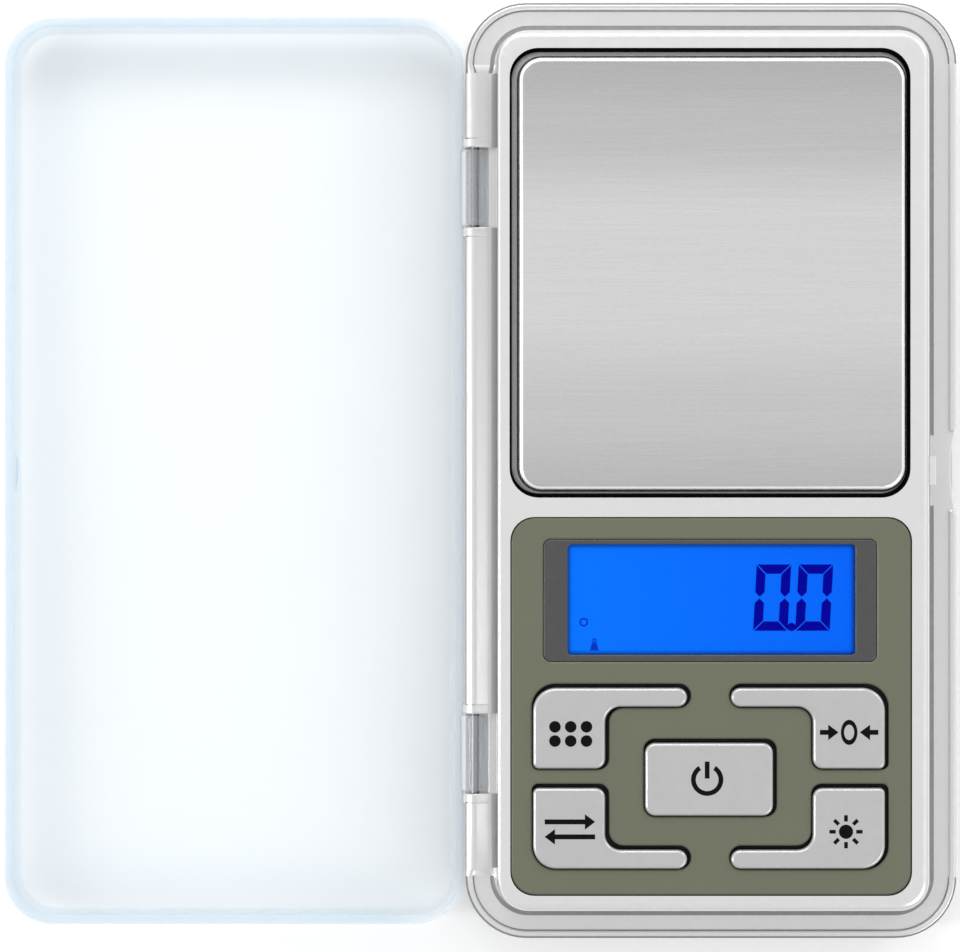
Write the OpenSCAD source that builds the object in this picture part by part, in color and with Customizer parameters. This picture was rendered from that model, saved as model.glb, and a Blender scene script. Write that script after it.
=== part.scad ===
// Pocket gram scale with a flip lid, drawn with the lid swung right over beside the body.
// Millimetres. The origin is the centre of the opened outline, on the table.
// +X runs from the open lid to the body, +Y runs towards the weighing pan, and +Z is up.

/* [Body] */
// Width of the body
body_w = 63; // [62:0.5:64]
// Length of the body
body_l = 120; // [119:0.5:122]
// Corner radius of the body in plan
body_r = 7.8; // [7:0.2:8.4]
// Thickness of the outer walls
wall = 1.6; // [1.5:0.05:1.7]
// Height where the two case halves meet
parting_z = 8; // [7.9:0.05:8.1]
// Height of the shelf that the closed lid lands on
shelf_z = 11; // [10.95:0.05:11.1]
// Height of the lip round the shelf
lip_z = 11.5; // [11.3:0.05:11.6]
// Width of the lip
lip_w = 0.95; // [0.8:0.05:1]

/* [Deck] */
// Width of the border between the deck and the body's edge
rim_w = 3.85; // [3.7:0.05:3.9]
// Width of that border on the hinge side
hinge_rim_w = 4.1; // [4.05:0.05:4.2]
// Corner radius of the deck
deck_r = 4; // [3.6:0.1:4.4]
// Height of the deck
deck_z = 16.4; // [16.4:0.05:16.6]

/* [Lid] */
// Distance from the body's hinge side to the hinge axis
hinge_inset = 1.15; // [1.1:0.05:1.2]
// Height of the hinge axis
hinge_z = 10; // [9.95:0.05:10.05]
// Height of the closed lid's top
closed_z = 20; // [19.9:0.05:20]
// Thickness of the lid's side walls
lid_wall = 1.2; // [1.1:0.05:1.25]
// Thickness of the lid's top plate
lid_plate = 1.3; // [1:0.1:1.4]
// Corner radius of the lid
lid_r = 6.3; // [5.8:0.1:6.8]

/* [Pan] */
// Width of the weighing pan
pan_w = 49.2; // [48:0.1:49.2]
// Length of the weighing pan
pan_l = 55.1; // [54:0.1:55.2]
// Corner radius of the weighing pan
pan_r = 3; // [2.5:0.1:3.4]
// Thickness of the pan's sheet
pan_t = 0.5; // [0.4:0.05:0.6]

/* [Panel] */
// Width of the faceplate
face_w = 50.9; // [50:0.1:51]
// Length of the faceplate
face_l = 48; // [47.6:0.1:48]
// Width of the display window
display_w = 42.4; // [41.8:0.1:42.8]
// Length of the display window
display_l = 15.6; // [15.2:0.1:15.8]
// Height of the key tops
key_z = 17; // [16.8:0.05:17.2]
// Travel of a key
key_travel = 0.35; // [0.2:0.05:0.35]
// How far the key tops stop short of their outlines on the +X and +Y sides
key_trim = 0.35; // [0:0.05:0.4]

/* [Hidden] */
$fn = 64;

// A cut runs past the face that it opens by this much
cut = 1;
// Solids that join run into each other by this much
lap = 0.1;
// Height of a slab that stands for a face in a hull
thin = 0.01;

// Body plan. Bounds are [low x, low y, high x, high y].
lid_inset = 1.2;
lid_reach = body_w - hinge_inset - lid_inset;
body_x0 = (lid_reach - hinge_inset - body_w) / 2;
body_x1 = body_x0 + body_w;
body_y1 = body_l / 2;
body_b = [body_x0, -body_y1, body_x1, body_y1];
inside_b = inset(body_b, wall);
deck_b = [body_x0 + hinge_rim_w, -body_y1 + rim_w, body_x1 - rim_w, body_y1 - rim_w];
deck_wall = 1.5;
shelf_t = 1.2;
plate_t = 1.2;
plate_z = deck_z - plate_t;

// Bottom case
base_z = 0.6;
floor_t = 1.4;
floor_z = base_z + floor_t;
edge = 0.8;
foot_r = 2.2;
foot_t = 1;
feet = [[1.9, -47.5], [57.6, -47.5], [1.9, 47.5], [57.6, 47.5]];
case_screw_at = [[2.1, -53.2], [57.4, -53.2], [2.1, 53.2], [57.4, 53.2]];
boss_r = 2.6;
upper_boss_r = 2;
screw_r = 0.9;
screw_head_r = 1.7;
screw_head_t = 1;
screw_seat_z = 2.2;
screw_tip_z = 9.3;
tip_room = 0.2;
thread_gap = 0.02;
hole_gap = 0.1;
// Length and width of a cross recess, as shares of its screw head's radius
cross = [1.2, 0.3];

// Hinge
hinge_x = body_x0 + hinge_inset;
rail_r = lip_z - hinge_z;
rail_l = 104;
slot_y = 36.35;
slot_l = 10.3;
slot_back = 1.2;
slot_floor_t = 1.2;
groove_w = 1.15;
slot_x1 = deck_b[0] - groove_w;
groove_z = 10.2;
knuckle_l = 1.2;
block_l = 18.6;
pin_r = 0.6;
pin_l = 16.3;
pin_room = 0.4;
lug_r = 1.4;
lug_l = 9.6;
lug_gap = 0.05;

// Finger notch and lid catch on the side away from the hinge
notch_depth = 0.75;
notch_l = 11.6;
notch_r = (pow(notch_l / 2, 2) + pow(notch_depth, 2)) / (2 * notch_depth);
notch_z = 6.6;
lip_gap_l = 10;
catch_l = 3.6;
catch_w = 0.7;
catch_z = [13.6, 16];
ramp_l = 9;
ramp_w = 0.5;
ramp_z = 13;
bead_l = 5;
bead_z = [12, 13.2];
bead_w = 0.45;

// Lid, in its closed place
lid_b = [hinge_x + 1.45, -body_y1 + 1.5, hinge_x + lid_reach, body_y1 - 1.5];
lid_z = shelf_z + 0.2;
lid_edge = 1;
web_z = hinge_z + 1.9;
web_foot = [hinge_x - 0.4, hinge_z + 1.33];

// Pan recess, pan and carrier
recess_b = [deck_b[0] + 1.5, -3.45, deck_b[2] - 2.65, deck_b[3] - 2.5];
recess_r = 3.7;
tray_z = [12.8, 14];
pan_c = [29.55, 25];
pan_z = deck_z + 0.5;
pan_skirt_z = 14.9;
pan_b = centred(pan_c, [pan_w, pan_l]);
// How far the hem stands out on the hinge side, at the front, on the far side and at the back
hem = [0.85, 0.4, 0.25, 0.7];
hem_b = [pan_b[0] - hem[0], pan_b[1] - hem[1], pan_b[2] + hem[2], pan_b[3] + hem[3]];
hem_r = 3.4;
pad_t = 0.2;
carrier_z = 15;
carrier_b = inset(pan_b, 2);
carrier_r = 2;
carrier_bore_z = 14.5;
carrier_tip_z = 14;
pad_at = [[-16, -19], [16, -19], [-16, 19], [16, 19]];
pad_r = 4;

// Load cell: one end is fixed to the bottom case, the other carries the pan
cell_b = [25, 3.5, 34, 47.5];
cell_z = [4.2, 10.2];
cell_x = (cell_b[0] + cell_b[2]) / 2;
flexure_y = [20.5, 30.5];
flexure_r = 2.3;
flexure_slot = 1.2;
fixed_y = [6.2, 10.8];
moving_y = [38.6, 43.4];
beam_screw_r = 1.2;
beam_head_r = 1.6;
beam_head_t = 1.1;
beam_seat_z = 2.1;
beam_tip_z = 9.5;
beam_counterbore_r = 2.2;
pedestal_y = [2, 13.4];
boss_b = [25.7, 37.2, 33.3, 47.2];
boss_gap = 2;
stop_y = 46.3;
stop_r = 0.9;
stop_z = [0.9, 3.65];
stop_slot = [1.3, 0.35, 0.8];
stop_boss_r = 1.5;
stop_boss_z = 2.4;
gauge = [5, 3, 0.12];

// Panel
face_c = [29.45, -29.95];
face_b = centred(face_c, [face_w, face_l]);
face_t = 0.4;
face_r = 3;
face_gap = 0.05;
display_c = [29.3, -16.5];
display_r = 1;
lens_t = 0.8;
glass_b = [9.2, -26, 49.4, -9.2];
glass_z = [14.5, 15.15];
light_b = [9.2, -23.4, 49.4, -9.4];
view_w = 38.4;
view_l = 14.4;
zebra_b = [12, -25.6, 47, -24];

// Keys: four L-shaped ones in the corners of a group, and one in its middle
keys_c = [29.33, -38.87];
keys_w = 45;
keys_l = 23.3;
key_block = [9.5, 10.6];
key_arm_l = 19.9;
key_arm_w = 2.75;
key_fillet = 2;
// Corner radii of a corner key: at its outer corner, beside it along Y, and across from it
key_r = [2.9, 0.7, 1.2];
power_c = [29.33, -39];
power_size = [16.6, 9.6];
power_r = 1.3;
key_gap = 0.15;
flange_w = 0.8;
flange_z = 14.6;
// Side along X and side along Y of each corner key
count_side = [-1, 1];
units_side = [-1, -1];
tare_side = [1, 1];
light_side = [1, -1];
switch_at = [
    block_centre(count_side), block_centre(units_side),
    block_centre(tare_side), block_centre(light_side), power_c
];
switch_size = [4.6, 4.6, 0.4];
plunger_r = 0.9;
well_gap = 0.1;

// Circuit board
pcb_b = [4.9, -54, 54.9, -5.2];
pcb_z = [12.9, 13.7];
pcb_r = 2;
plunger_z = pcb_z[1] + key_travel + well_gap;
pcb_screw_at = [[6.7, -7.4], [52, -7.4], [29.3, -28.6]];
standoff_r = 1.4;
pcb_screw_r = 0.7;
pcb_screw_tip_z = 14.9;
pcb_head_r = 1.35;
pcb_head_t = 0.8;
pcb_hole_gap = 0.2;
// Parts under the board, each with its height: boxes by their bounds, round ones by place and radius
chip_b = [20, -20.5, 27, -13.5];
chip_t = 1.2;
plug_b = [13.5, -27, 16.7, -20];
plug_t = 1.8;
crystal = [36, -17, 4];
crystal_t = 1;
capacitors = [[45, -12, 2, 4.4], [45, -19, 1.6, 3.6]];
resistor_b = [30, -26, 30.8, -24.4];
resistor_t = 0.5;
resistor_n = 6;
resistor_pitch = 3;

// Battery bay, two cells side by side along X
bay_x = [5.2, 53.8];
bay_z = 6.7;
bay_y = [-38.1, -49.1];
bay_wall = 1;
bay_top_z = 12.8;
bay_step_z = 9.5;
bay_room = 0.2;
channel_r = 5.4;
cell_r = 5.2;
cell_l = 44.5;
nub_r = 1.9;
nub_l = 0.8;
contact_t = 0.4;
contact_half = 3.5;
contact_slot = 0.45;
contact_gap = 0.1;
tab_w = 2;
tab_x = 3.2;
tab_z = [6.2, 6.6];
spring_r = [3.2, 2];
spring_wire_r = 0.3;
spring_turns = 3;
spring_steps = 14;
spring_gap = 0.02;

// Battery door, sliding out towards -Y
door_x = [5.2, 54.2];
door_y1 = -32.4;
door_z = [base_z, 1.4];
door_gap = 0.1;
tongue_w = 0.8;
tongue_z = [1, 1.4];
tongue_gap = 0.05;
grip_n = 5;
grip_pitch = 1.6;
grip_inset = 4;
grip = [12, 0.7, 0.5];

// Leads. Each route is a few points that a smooth curve passes through.
wire_r = 0.4;
lead_r = 0.5;
wire_steps = 4;
wire_n = 4;
wire_pitch = 1.5;
gauge_route = [[0, 17, 10.75], [0, 11, 11.2], [-1, 4, 11.7], [-1.5, -3, 11.7],
    [-1.8, -8, 11.7], [-1.9, -9.4, 12.2], [-1.9, -9.5, 12.8]];
red_route = [[3.5, -38.1, 7.12], [3.5, -35, 7.2], [3.4, -31.6, 8], [6, -28.8, 10.4],
    [6.4, -28.6, 12], [6.4, -28.6, 12.8]];
black_route = [[3.4, -49.1, 5.65], [3.3, -44, 5.2], [3.3, -34, 5.2], [3.5, -29.5, 7],
    [6, -26, 10], [6.4, -25.6, 12], [6.4, -25.6, 12.8]];

function inset(b, d) = [b[0] + d, b[1] + d, b[2] - d, b[3] - d];
function centred(c, s) = [c[0] - s[0] / 2, c[1] - s[1] / 2, c[0] + s[0] / 2, c[1] + s[1] / 2];
function unit(v) = v / norm(v);
function block_centre(side) = [
    keys_c[0] + side[0] * (keys_w - key_block[0]) / 2,
    keys_c[1] + side[1] * (keys_l - key_block[1]) / 2
];

// Catmull-Rom curve through the points p, at s counted in points
function spline_at(p, s) =
    let (n = len(p), i = min(floor(s), n - 2), t = s - i)
    let (a = p[max(i - 1, 0)], b = p[i], c = p[i + 1], d = p[min(i + 2, n - 1)])
    (2 * b + (c - a) * t + (2 * a - 5 * b + 4 * c - d) * pow(t, 2)
        + (3 * b - a - 3 * c + d) * pow(t, 3)) / 2;
function smooth(p, steps) = [for (k = [0 : (len(p) - 1) * steps]) spline_at(p, k / steps)];

// Round tube along a path that never runs straight along X
module tube(path, r, sides = 8) {
    n = len(path);
    points = [for (i = [0 : n - 1])
        let (t = unit(path[min(i + 1, n - 1)] - path[max(i - 1, 0)]))
        let (u = unit(cross(t, [1, 0, 0])))
        let (v = cross(t, u))
        for (k = [0 : sides - 1]) path[i] + r * (cos(360 * k / sides) * u + sin(360 * k / sides) * v)];
    walls = [for (i = [0 : n - 2], k = [0 : sides - 1])
        let (a = i * sides, m = (k + 1) % sides)
        [a + k, a + sides + k, a + sides + m, a + m]];
    first = [for (k = [0 : sides - 1]) k];
    last = [for (k = [0 : sides - 1]) n * sides - 1 - k];
    polyhedron(points, concat(walls, [first, last]));
}

// Rectangle with round corners, from its bounds
module rounded(b, r) {
    translate([b[0] + r, b[1]]) square([b[2] - b[0] - 2 * r, b[3] - b[1]]);
    translate([b[0], b[1] + r]) square([b[2] - b[0], b[3] - b[1] - 2 * r]);
    for (x = [b[0] + r, b[2] - r], y = [b[1] + r, b[3] - r])
        translate([x, y]) circle(r);
}

module slab(b, z, r) {
    translate([0, 0, z[0]]) linear_extrude(z[1] - z[0]) rounded(b, r);
}

module box(b, z) {
    translate([b[0], b[1], z[0]]) cube([b[2] - b[0], b[3] - b[1], z[1] - z[0]]);
}

module post(at, r, z) {
    translate([at[0], at[1], z[0]]) cylinder(r = r, h = z[1] - z[0]);
}

// Cylinder along Y, centred on y
module bar_y(x, y, z, r, l) {
    translate([x, y - l / 2, z]) rotate([-90, 0, 0]) cylinder(r = r, h = l);
}

// Cylinder along X, from x[0] to x[1]
module bar_x(x, y, z, r) {
    translate([x[0], y, z]) rotate([0, 90, 0]) cylinder(r = r, h = x[1] - x[0]);
}

// Screw that enters from below: head, shank and a cross recess in the head
module screw(at, head_r, head_t, r, seat_z, tip_z) {
    difference() {
        union() {
            post(at, head_r, [seat_z - head_t, seat_z]);
            post(at, r, [seat_z - lap, tip_z]);
        }
        for (turn = [0, 90])
            translate([at[0], at[1], seat_z - head_t]) rotate(turn)
                cube([head_r * cross[0], head_r * cross[1], head_t], center = true);
    }
}

// Outer shape of the lower half, with its bottom edge bevelled
module lower_shape() {
    hull() {
        slab(inset(body_b, edge), [base_z, base_z + thin], body_r - edge, $fn = 32);
        slab(body_b, [base_z + edge, parting_z], body_r, $fn = 32);
    }
}

module notch_cutter() {
    translate([body_x1 - notch_depth + notch_r, 0, notch_z])
        cylinder(r = notch_r, h = lip_z, $fn = 128);
}

module bay_shell() {
    lower_b = [bay_x[0] - bay_wall, bay_y[1] - channel_r - bay_wall,
        bay_x[1] + bay_wall, bay_y[0] + channel_r + bay_wall];
    box(lower_b, [floor_z - lap, bay_step_z]);
    box([lower_b[0], deck_b[1] + deck_wall + bay_room, lower_b[2], lower_b[3]], [parting_z, bay_top_z]);
}

module bay_hollow() {
    half = contact_half + contact_gap;
    tab_half = tab_w / 2 + contact_gap;
    for (y = bay_y)
        bar_x(bay_x, y, bay_z, channel_r);
    box([bay_x[0], bay_y[1] - channel_r, bay_x[1], bay_y[0] + channel_r], [0, bay_z]);
    // seats of the contacts, and slots for their tabs
    for (x = [bay_x[0], bay_x[1] - contact_slot])
        box([x, bay_y[1] - half, x + contact_slot, bay_y[0] + half], [0, bay_z + half]);
    for (y = bay_y)
        box([0, y - tab_half, bay_x[0] + cut, y + tab_half], tab_z + [-contact_gap, contact_gap]);
}

module bottom_case() {
    color("silver")
    difference() {
        union() {
            difference() {
                lower_shape();
                slab(inside_b, [floor_z, parting_z + cut], body_r - wall);
            }
            bay_shell();
            for (at = case_screw_at)
                post(at, boss_r, [floor_z - lap, parting_z]);
            for (side = [-1, 1])
                box([inside_b[0] - lap, side * slot_y - slot_l / 2 - slot_back,
                    deck_b[0], side * slot_y + slot_l / 2 + slot_back],
                    [parting_z - slot_floor_t, parting_z]);
            box([cell_b[0], pedestal_y[0], cell_b[2], pedestal_y[1]], [floor_z - lap, cell_z[0]]);
            post([cell_x, stop_y], stop_boss_r, [floor_z - lap, stop_boss_z]);
        }
        notch_cutter();
        bay_hollow();
        // way for the door and its tongues
        box([door_x[0] - door_gap, -body_y1 - cut, door_x[1] + door_gap, door_y1 + door_gap],
            [0, door_z[1] + door_gap]);
        box([door_x[0] - tongue_w - door_gap, -body_y1 - cut,
            door_x[1] + tongue_w + door_gap, door_y1 + door_gap],
            [tongue_z[0] - tongue_gap, tongue_z[1] + door_gap]);
        for (at = feet)
            post(at, foot_r, [base_z - cut, foot_t]);
        for (at = case_screw_at) {
            post(at, screw_head_r + hole_gap, [base_z - cut, screw_seat_z]);
            post(at, screw_r + hole_gap, [0, parting_z + cut]);
        }
        for (y = fixed_y) {
            post([cell_x, y], beam_counterbore_r, [base_z - cut, beam_seat_z]);
            post([cell_x, y], beam_screw_r + hole_gap, [0, cell_z[0] + cut]);
        }
        post([cell_x, stop_y], stop_r + thread_gap, [0, floor_z + cut]);
    }
}

// Everything that the upper half is cut from
module upper_shape() {
    slab(body_b, [parting_z, shelf_z], body_r);
    slab(deck_b, [shelf_z - lap, deck_z], deck_r);
    difference() {
        slab(body_b, [shelf_z - lap, lip_z], body_r);
        slab(inset(body_b, lip_w), [shelf_z - cut, lip_z + cut], body_r - lip_w);
        box([body_x0 - cut, -rail_l / 2, deck_b[0], rail_l / 2], [shelf_z - cut, lip_z + cut]);
    }
    box([deck_b[2] - cut, -catch_l / 2, deck_b[2] + catch_w, catch_l / 2], catch_z);
    box([deck_b[2] - cut, -ramp_l / 2, deck_b[2] + ramp_w, ramp_l / 2], [shelf_z - lap, ramp_z]);
}

module upper_hollow() {
    panel_y = recess_b[1] - deck_wall;
    under_deck = inset(deck_b, deck_wall);
    slab(inside_b, [parting_z - cut, shelf_z - shelf_t], body_r - wall);
    slab(under_deck, [parting_z, tray_z[0]], deck_r - deck_wall);
    slab([under_deck[0], under_deck[1], under_deck[2], panel_y], [parting_z, plate_z], deck_r - deck_wall);
    slab(recess_b, [tray_z[1], deck_z + cut], recess_r);
    box(inset(boss_b, -boss_gap), [tray_z[0] - cut, tray_z[1] + cut]);
}

module panel_cuts() {
    slab(inset(face_b, -face_gap), [deck_z - face_t, deck_z + cut], face_r + face_gap);
    slab(centred(display_c, [display_w, display_l]), [deck_z - lens_t, deck_z], display_r);
    box(centred(display_c, [view_w, view_l]), [plate_z - cut, deck_z]);
    key_openings([plate_z - cut, deck_z]);
}

module hinge_cuts() {
    // groove at the foot of the deck
    box([deck_b[0] - groove_w, -rail_l / 2, deck_b[0], rail_l / 2], [groove_z, shelf_z + cut]);
    for (side = [-1, 1]) {
        box([body_x0 - cut, side * slot_y - slot_l / 2, slot_x1, side * slot_y + slot_l / 2],
            [parting_z - cut, lip_z + cut]);
        bar_y(hinge_x, side * slot_y, hinge_z, pin_r + thread_gap, pin_l + pin_room);
    }
}

module top_case() {
    color("silver")
    difference() {
        union() {
            difference() {
                upper_shape();
                upper_hollow();
            }
            // hinge rail, with a knuckle on each side of both slots
            intersection() {
                bar_y(hinge_x, 0, hinge_z, rail_r, rail_l);
                box([body_x0, -body_y1, body_x1, body_y1], [parting_z, lip_z + cut]);
            }
            for (side = [-1, 1]) {
                bar_y(hinge_x, side * slot_y, hinge_z, rail_r, slot_l + 2 * knuckle_l);
                box([inside_b[0] - lap, side * slot_y - block_l / 2, deck_b[0] + lap,
                    side * slot_y + block_l / 2], [parting_z, shelf_z - lap]);
            }
            for (at = case_screw_at)
                post(at, upper_boss_r, [parting_z, shelf_z - lap]);
            for (at = pcb_screw_at)
                post(at, standoff_r, [pcb_z[1], plate_z + lap]);
        }
        panel_cuts();
        hinge_cuts();
        notch_cutter();
        box([body_x1 - lip_w, -lip_gap_l / 2, body_x1 + cut, lip_gap_l / 2], [shelf_z, lip_z + cut]);
        for (at = case_screw_at)
            post(at, screw_r + thread_gap, [parting_z - cut, screw_tip_z + tip_room]);
        for (at = pcb_screw_at)
            post(at, pcb_screw_r + thread_gap, [pcb_z[1] - cut, pcb_screw_tip_z + tip_room]);
    }
}

module faceplate() {
    color("darkkhaki")
    difference() {
        slab(face_b, [deck_z - face_t, deck_z], face_r);
        slab(centred(display_c, [display_w, display_l]), [deck_z - cut, deck_z + cut], display_r);
        key_openings([deck_z - cut, deck_z + cut]);
    }
}

module display_lens() {
    size = [display_w - 2 * face_gap, display_l - 2 * face_gap];
    color("dimgray") slab(centred(display_c, size), [deck_z - lens_t, deck_z], display_r - face_gap);
}

module lcd_glass() {
    color("royalblue") box(glass_b, glass_z);
}

module lcd_backlight() {
    color("deepskyblue") box(light_b, [pcb_z[1], glass_z[0]]);
}

module zebra_connector() {
    color("pink") box(zebra_b, [pcb_z[1], glass_z[0]]);
}

module main_pcb() {
    color("darkgreen")
    difference() {
        slab(pcb_b, pcb_z, pcb_r);
        for (at = pcb_screw_at)
            post(at, pcb_screw_r + pcb_hole_gap, pcb_z + [-cut, cut]);
    }
}

// Parts soldered to the underside of the board
module pcb_components() {
    under = pcb_z[0];
    color("black") {
        box(chip_b, [under - chip_t, under]);
        box(plug_b, [under - plug_t, under]);
        post(crystal, crystal[2], [under - crystal_t, under]);
        for (c = capacitors)
            post(c, c[2], [under - c[3], under]);
        for (i = [0 : resistor_n - 1])
            translate([resistor_pitch * i, 0, 0]) box(resistor_b, [under - resistor_t, under]);
    }
}

module pcb_screws() {
    color("gray")
    for (at = pcb_screw_at)
        screw(at, pcb_head_r, pcb_head_t, pcb_screw_r, pcb_z[0], pcb_screw_tip_z);
}

module tact_switches() {
    color("dimgray")
    for (at = switch_at)
        difference() {
            box(centred(at, switch_size), [pcb_z[1], pcb_z[1] + switch_size[2]]);
            post(at, plunger_r + well_gap, pcb_z + [0, cut]);
        }
}

// Aluminium beam, thinned over two bores that a slot joins, so that its free end sinks level
module load_cell() {
    mid_z = (cell_z[0] + cell_z[1]) / 2;
    through = [cell_b[0] - cut, cell_b[2] + cut];
    color("lightgray")
    difference() {
        box(cell_b, cell_z);
        for (y = flexure_y)
            bar_x(through, y, mid_z, flexure_r);
        box([through[0], flexure_y[0], through[1], flexure_y[1]],
            [mid_z - flexure_slot / 2, mid_z + flexure_slot / 2]);
        for (y = concat(fixed_y, moving_y))
            post([cell_x, y], beam_screw_r + thread_gap, cell_z + [-cut, cut]);
    }
}

module strain_gauges() {
    color("orange")
    for (y = flexure_y, z = [cell_z[1], cell_z[0] - gauge[2]])
        box(centred([cell_x, y], [gauge[0], gauge[1]]), [z, z + gauge[2]]);
}

module load_cell_screws() {
    color("gray")
    for (y = fixed_y)
        screw([cell_x, y], beam_head_r, beam_head_t, beam_screw_r, beam_seat_z, beam_tip_z);
}

module overload_stop_screw() {
    color("gray")
    difference() {
        post([cell_x, stop_y], stop_r, stop_z);
        translate([cell_x, stop_y, stop_z[0]]) cube(stop_slot, center = true);
    }
}

// One of four leads side by side, from the gauges to the board
module gauge_wire(i, colour) {
    color(colour)
    translate([cell_x + wire_pitch * (i - (wire_n - 1) / 2), 0, 0])
        tube(smooth(gauge_route, wire_steps), wire_r);
}

module battery_lead(route, colour) {
    color(colour) tube(smooth(route, wire_steps), lead_r);
}

module battery_cell(end, y) {
    // end is 1 where the positive end faces +X
    middle = (bay_x[0] + bay_x[1]) / 2;
    tip = (bay_x[1] - bay_x[0]) / 2 - contact_t;
    color("steelblue")
    translate([middle, y, bay_z]) mirror([end < 0 ? 1 : 0, 0, 0]) {
        bar_x([tip - cell_l, tip - nub_l], 0, 0, cell_r);
        bar_x([tip - nub_l - lap, tip], 0, 0, nub_r);
    }
}

function spring_path(x, length, y) = [
    for (i = [0 : spring_turns * spring_steps])
        let (t = i / (spring_turns * spring_steps), r = spring_r[0] + (spring_r[1] - spring_r[0]) * t)
        [x + length * t, y + r * cos(360 * spring_turns * t), bay_z + r * sin(360 * spring_turns * t)]
];

module contact_plate(x, y0, y1) {
    box([x, y0, x + contact_t, y1], [bay_z - contact_half, bay_z + contact_half]);
}

module tab(y) {
    box([tab_x, y - tab_w / 2, bay_x[0] + lap, y + tab_w / 2], tab_z);
}

// Room for a spring between a contact plate and the flat end of a cell, less its wire
spring_l = bay_x[1] - bay_x[0] - 2 * contact_t - cell_l - 2 * (spring_wire_r + spring_gap);
spring_x = bay_x[0] + contact_t + spring_wire_r + spring_gap;

module battery_spring_contact() {
    color("lightgray") {
        contact_plate(bay_x[0], bay_y[0] - contact_half, bay_y[0] + contact_half);
        tab(bay_y[0]);
        tube(spring_path(spring_x, spring_l, bay_y[0]), spring_wire_r, 6);
    }
}

module battery_plate_contact() {
    color("lightgray") {
        contact_plate(bay_x[0], bay_y[1] - contact_half, bay_y[1] + contact_half);
        tab(bay_y[1]);
    }
}

module battery_bridge_contact() {
    x = bay_x[1] - contact_t;
    color("lightgray") {
        contact_plate(x, bay_y[1] - contact_half, bay_y[0] + contact_half);
        tube(spring_path(x - spring_wire_r - spring_gap, -spring_l, bay_y[1]), spring_wire_r, 6);
    }
}

module case_screws() {
    color("gray")
    for (at = case_screw_at)
        screw(at, screw_head_r, screw_head_t, screw_r, screw_seat_z, screw_tip_z);
}

module foot(i) {
    color("dimgray") post(feet[i], foot_r, [0, foot_t]);
}

module hinge_pin(side) {
    color("gray") bar_y(hinge_x, side * slot_y, hinge_z, pin_r, pin_l);
}

module closed_lid() {
    difference() {
        union() {
            difference() {
                hull() {
                    slab(lid_b, [lid_z, closed_z - lid_edge], lid_r, $fn = 32);
                    slab(inset(lid_b, lid_edge), [closed_z - thin, closed_z], lid_r - lid_edge, $fn = 32);
                }
                slab(inset(lid_b, lid_wall), [lid_z - cut, closed_z - lid_plate], lid_r - lid_wall);
            }
            // bead that snaps under the catch
            box([lid_b[2] - lid_wall - bead_w, -bead_l / 2, lid_b[2] - lap, bead_l / 2], bead_z);
            for (side = [-1, 1]) {
                bar_y(hinge_x, side * slot_y, hinge_z, lug_r, lug_l);
                translate([0, side * slot_y + lug_l / 2, 0]) rotate([90, 0, 0])
                    linear_extrude(lug_l)
                        polygon([
                            [hinge_x, hinge_z], [hinge_x + lug_r, hinge_z], [lid_b[0], lid_z],
                            [lid_b[0] + lid_wall, lid_z], [lid_b[0] + lid_wall, web_z],
                            [lid_b[0], web_z], web_foot
                        ]);
            }
        }
        for (side = [-1, 1])
            bar_y(hinge_x, side * slot_y, hinge_z, pin_r + lug_gap, lug_l + 2 * cut);
    }
}

// The lid lies swung right over, upside down on the table
module lid() {
    color("white", 0.35)
    translate([hinge_x, 0, hinge_z]) rotate([0, 180, 0]) translate([-hinge_x, 0, -hinge_z])
        closed_lid();
}

module weighing_pan() {
    color("silver")
    difference() {
        union() {
            slab(pan_b, [pan_skirt_z, pan_z], pan_r);
            slab(hem_b, [pan_skirt_z, pan_skirt_z + pan_t], hem_r);
        }
        slab(inset(pan_b, pan_t), [pan_skirt_z - cut, pan_z - pan_t], pan_r - pan_t);
    }
}

module pan_carrier() {
    color("white")
    difference() {
        union() {
            slab(carrier_b, [carrier_z, pan_z - pan_t - pad_t], carrier_r);
            box(boss_b, [cell_z[1], carrier_z + lap]);
        }
        for (y = moving_y)
            post([cell_x, y], beam_screw_r + thread_gap, [cell_z[1] - cut, carrier_bore_z]);
    }
}

module pan_carrier_screws() {
    color("gray")
    for (y = moving_y)
        screw([cell_x, y], beam_head_r, beam_head_t, beam_screw_r, cell_z[0], carrier_tip_z);
}

module pan_adhesive_pads() {
    top = pan_z - pan_t;
    color("ivory")
    for (at = pad_at)
        post(pan_c + at, pad_r, [top - pad_t, top]);
}

// What a round corner takes off a square one at point at, whose sides run along dir
module corner_waste(at, dir, r) {
    translate(at) mirror([dir[0] < 0 ? 1 : 0, 0, 0]) mirror([0, dir[1] < 0 ? 1 : 0, 0])
        difference() {
            translate([-cut, -cut]) square(r + cut);
            translate([r, r]) circle(r);
        }
}

// Outline of a corner key, grown by g, with its outer corner at 0, 0 and its arm along +X
module corner_outline(g) {
    fillet = key_fillet - g;
    far = key_block + [g, g];
    difference() {
        translate([-g, -g]) square(key_block + [2 * g, 2 * g]);
        corner_waste([-g, -g], [1, 1], key_r[0] + g);
        corner_waste([-g, far[1]], [1, -1], key_r[1] + g);
        corner_waste(far, [-1, -1], key_r[2] + g);
    }
    translate([key_r[0], -g])
        square([key_arm_l - key_arm_w / 2 - key_r[0], key_arm_w + 2 * g]);
    translate([key_arm_l - key_arm_w / 2, key_arm_w / 2]) circle(key_arm_w / 2 + g);
    translate([key_block[0] + g - lap, key_arm_w + g - lap]) difference() {
        square(fillet + lap);
        translate([fillet + lap, fillet + lap]) circle(fillet);
    }
}

// Puts a corner key's outline in its corner of the group
module in_corner(side) {
    translate([keys_c[0] + side[0] * keys_w / 2, keys_c[1] + side[1] * keys_l / 2])
        mirror([side[0] > 0 ? 1 : 0, 0, 0]) mirror([0, side[1] > 0 ? 1 : 0, 0])
            children();
}

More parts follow.
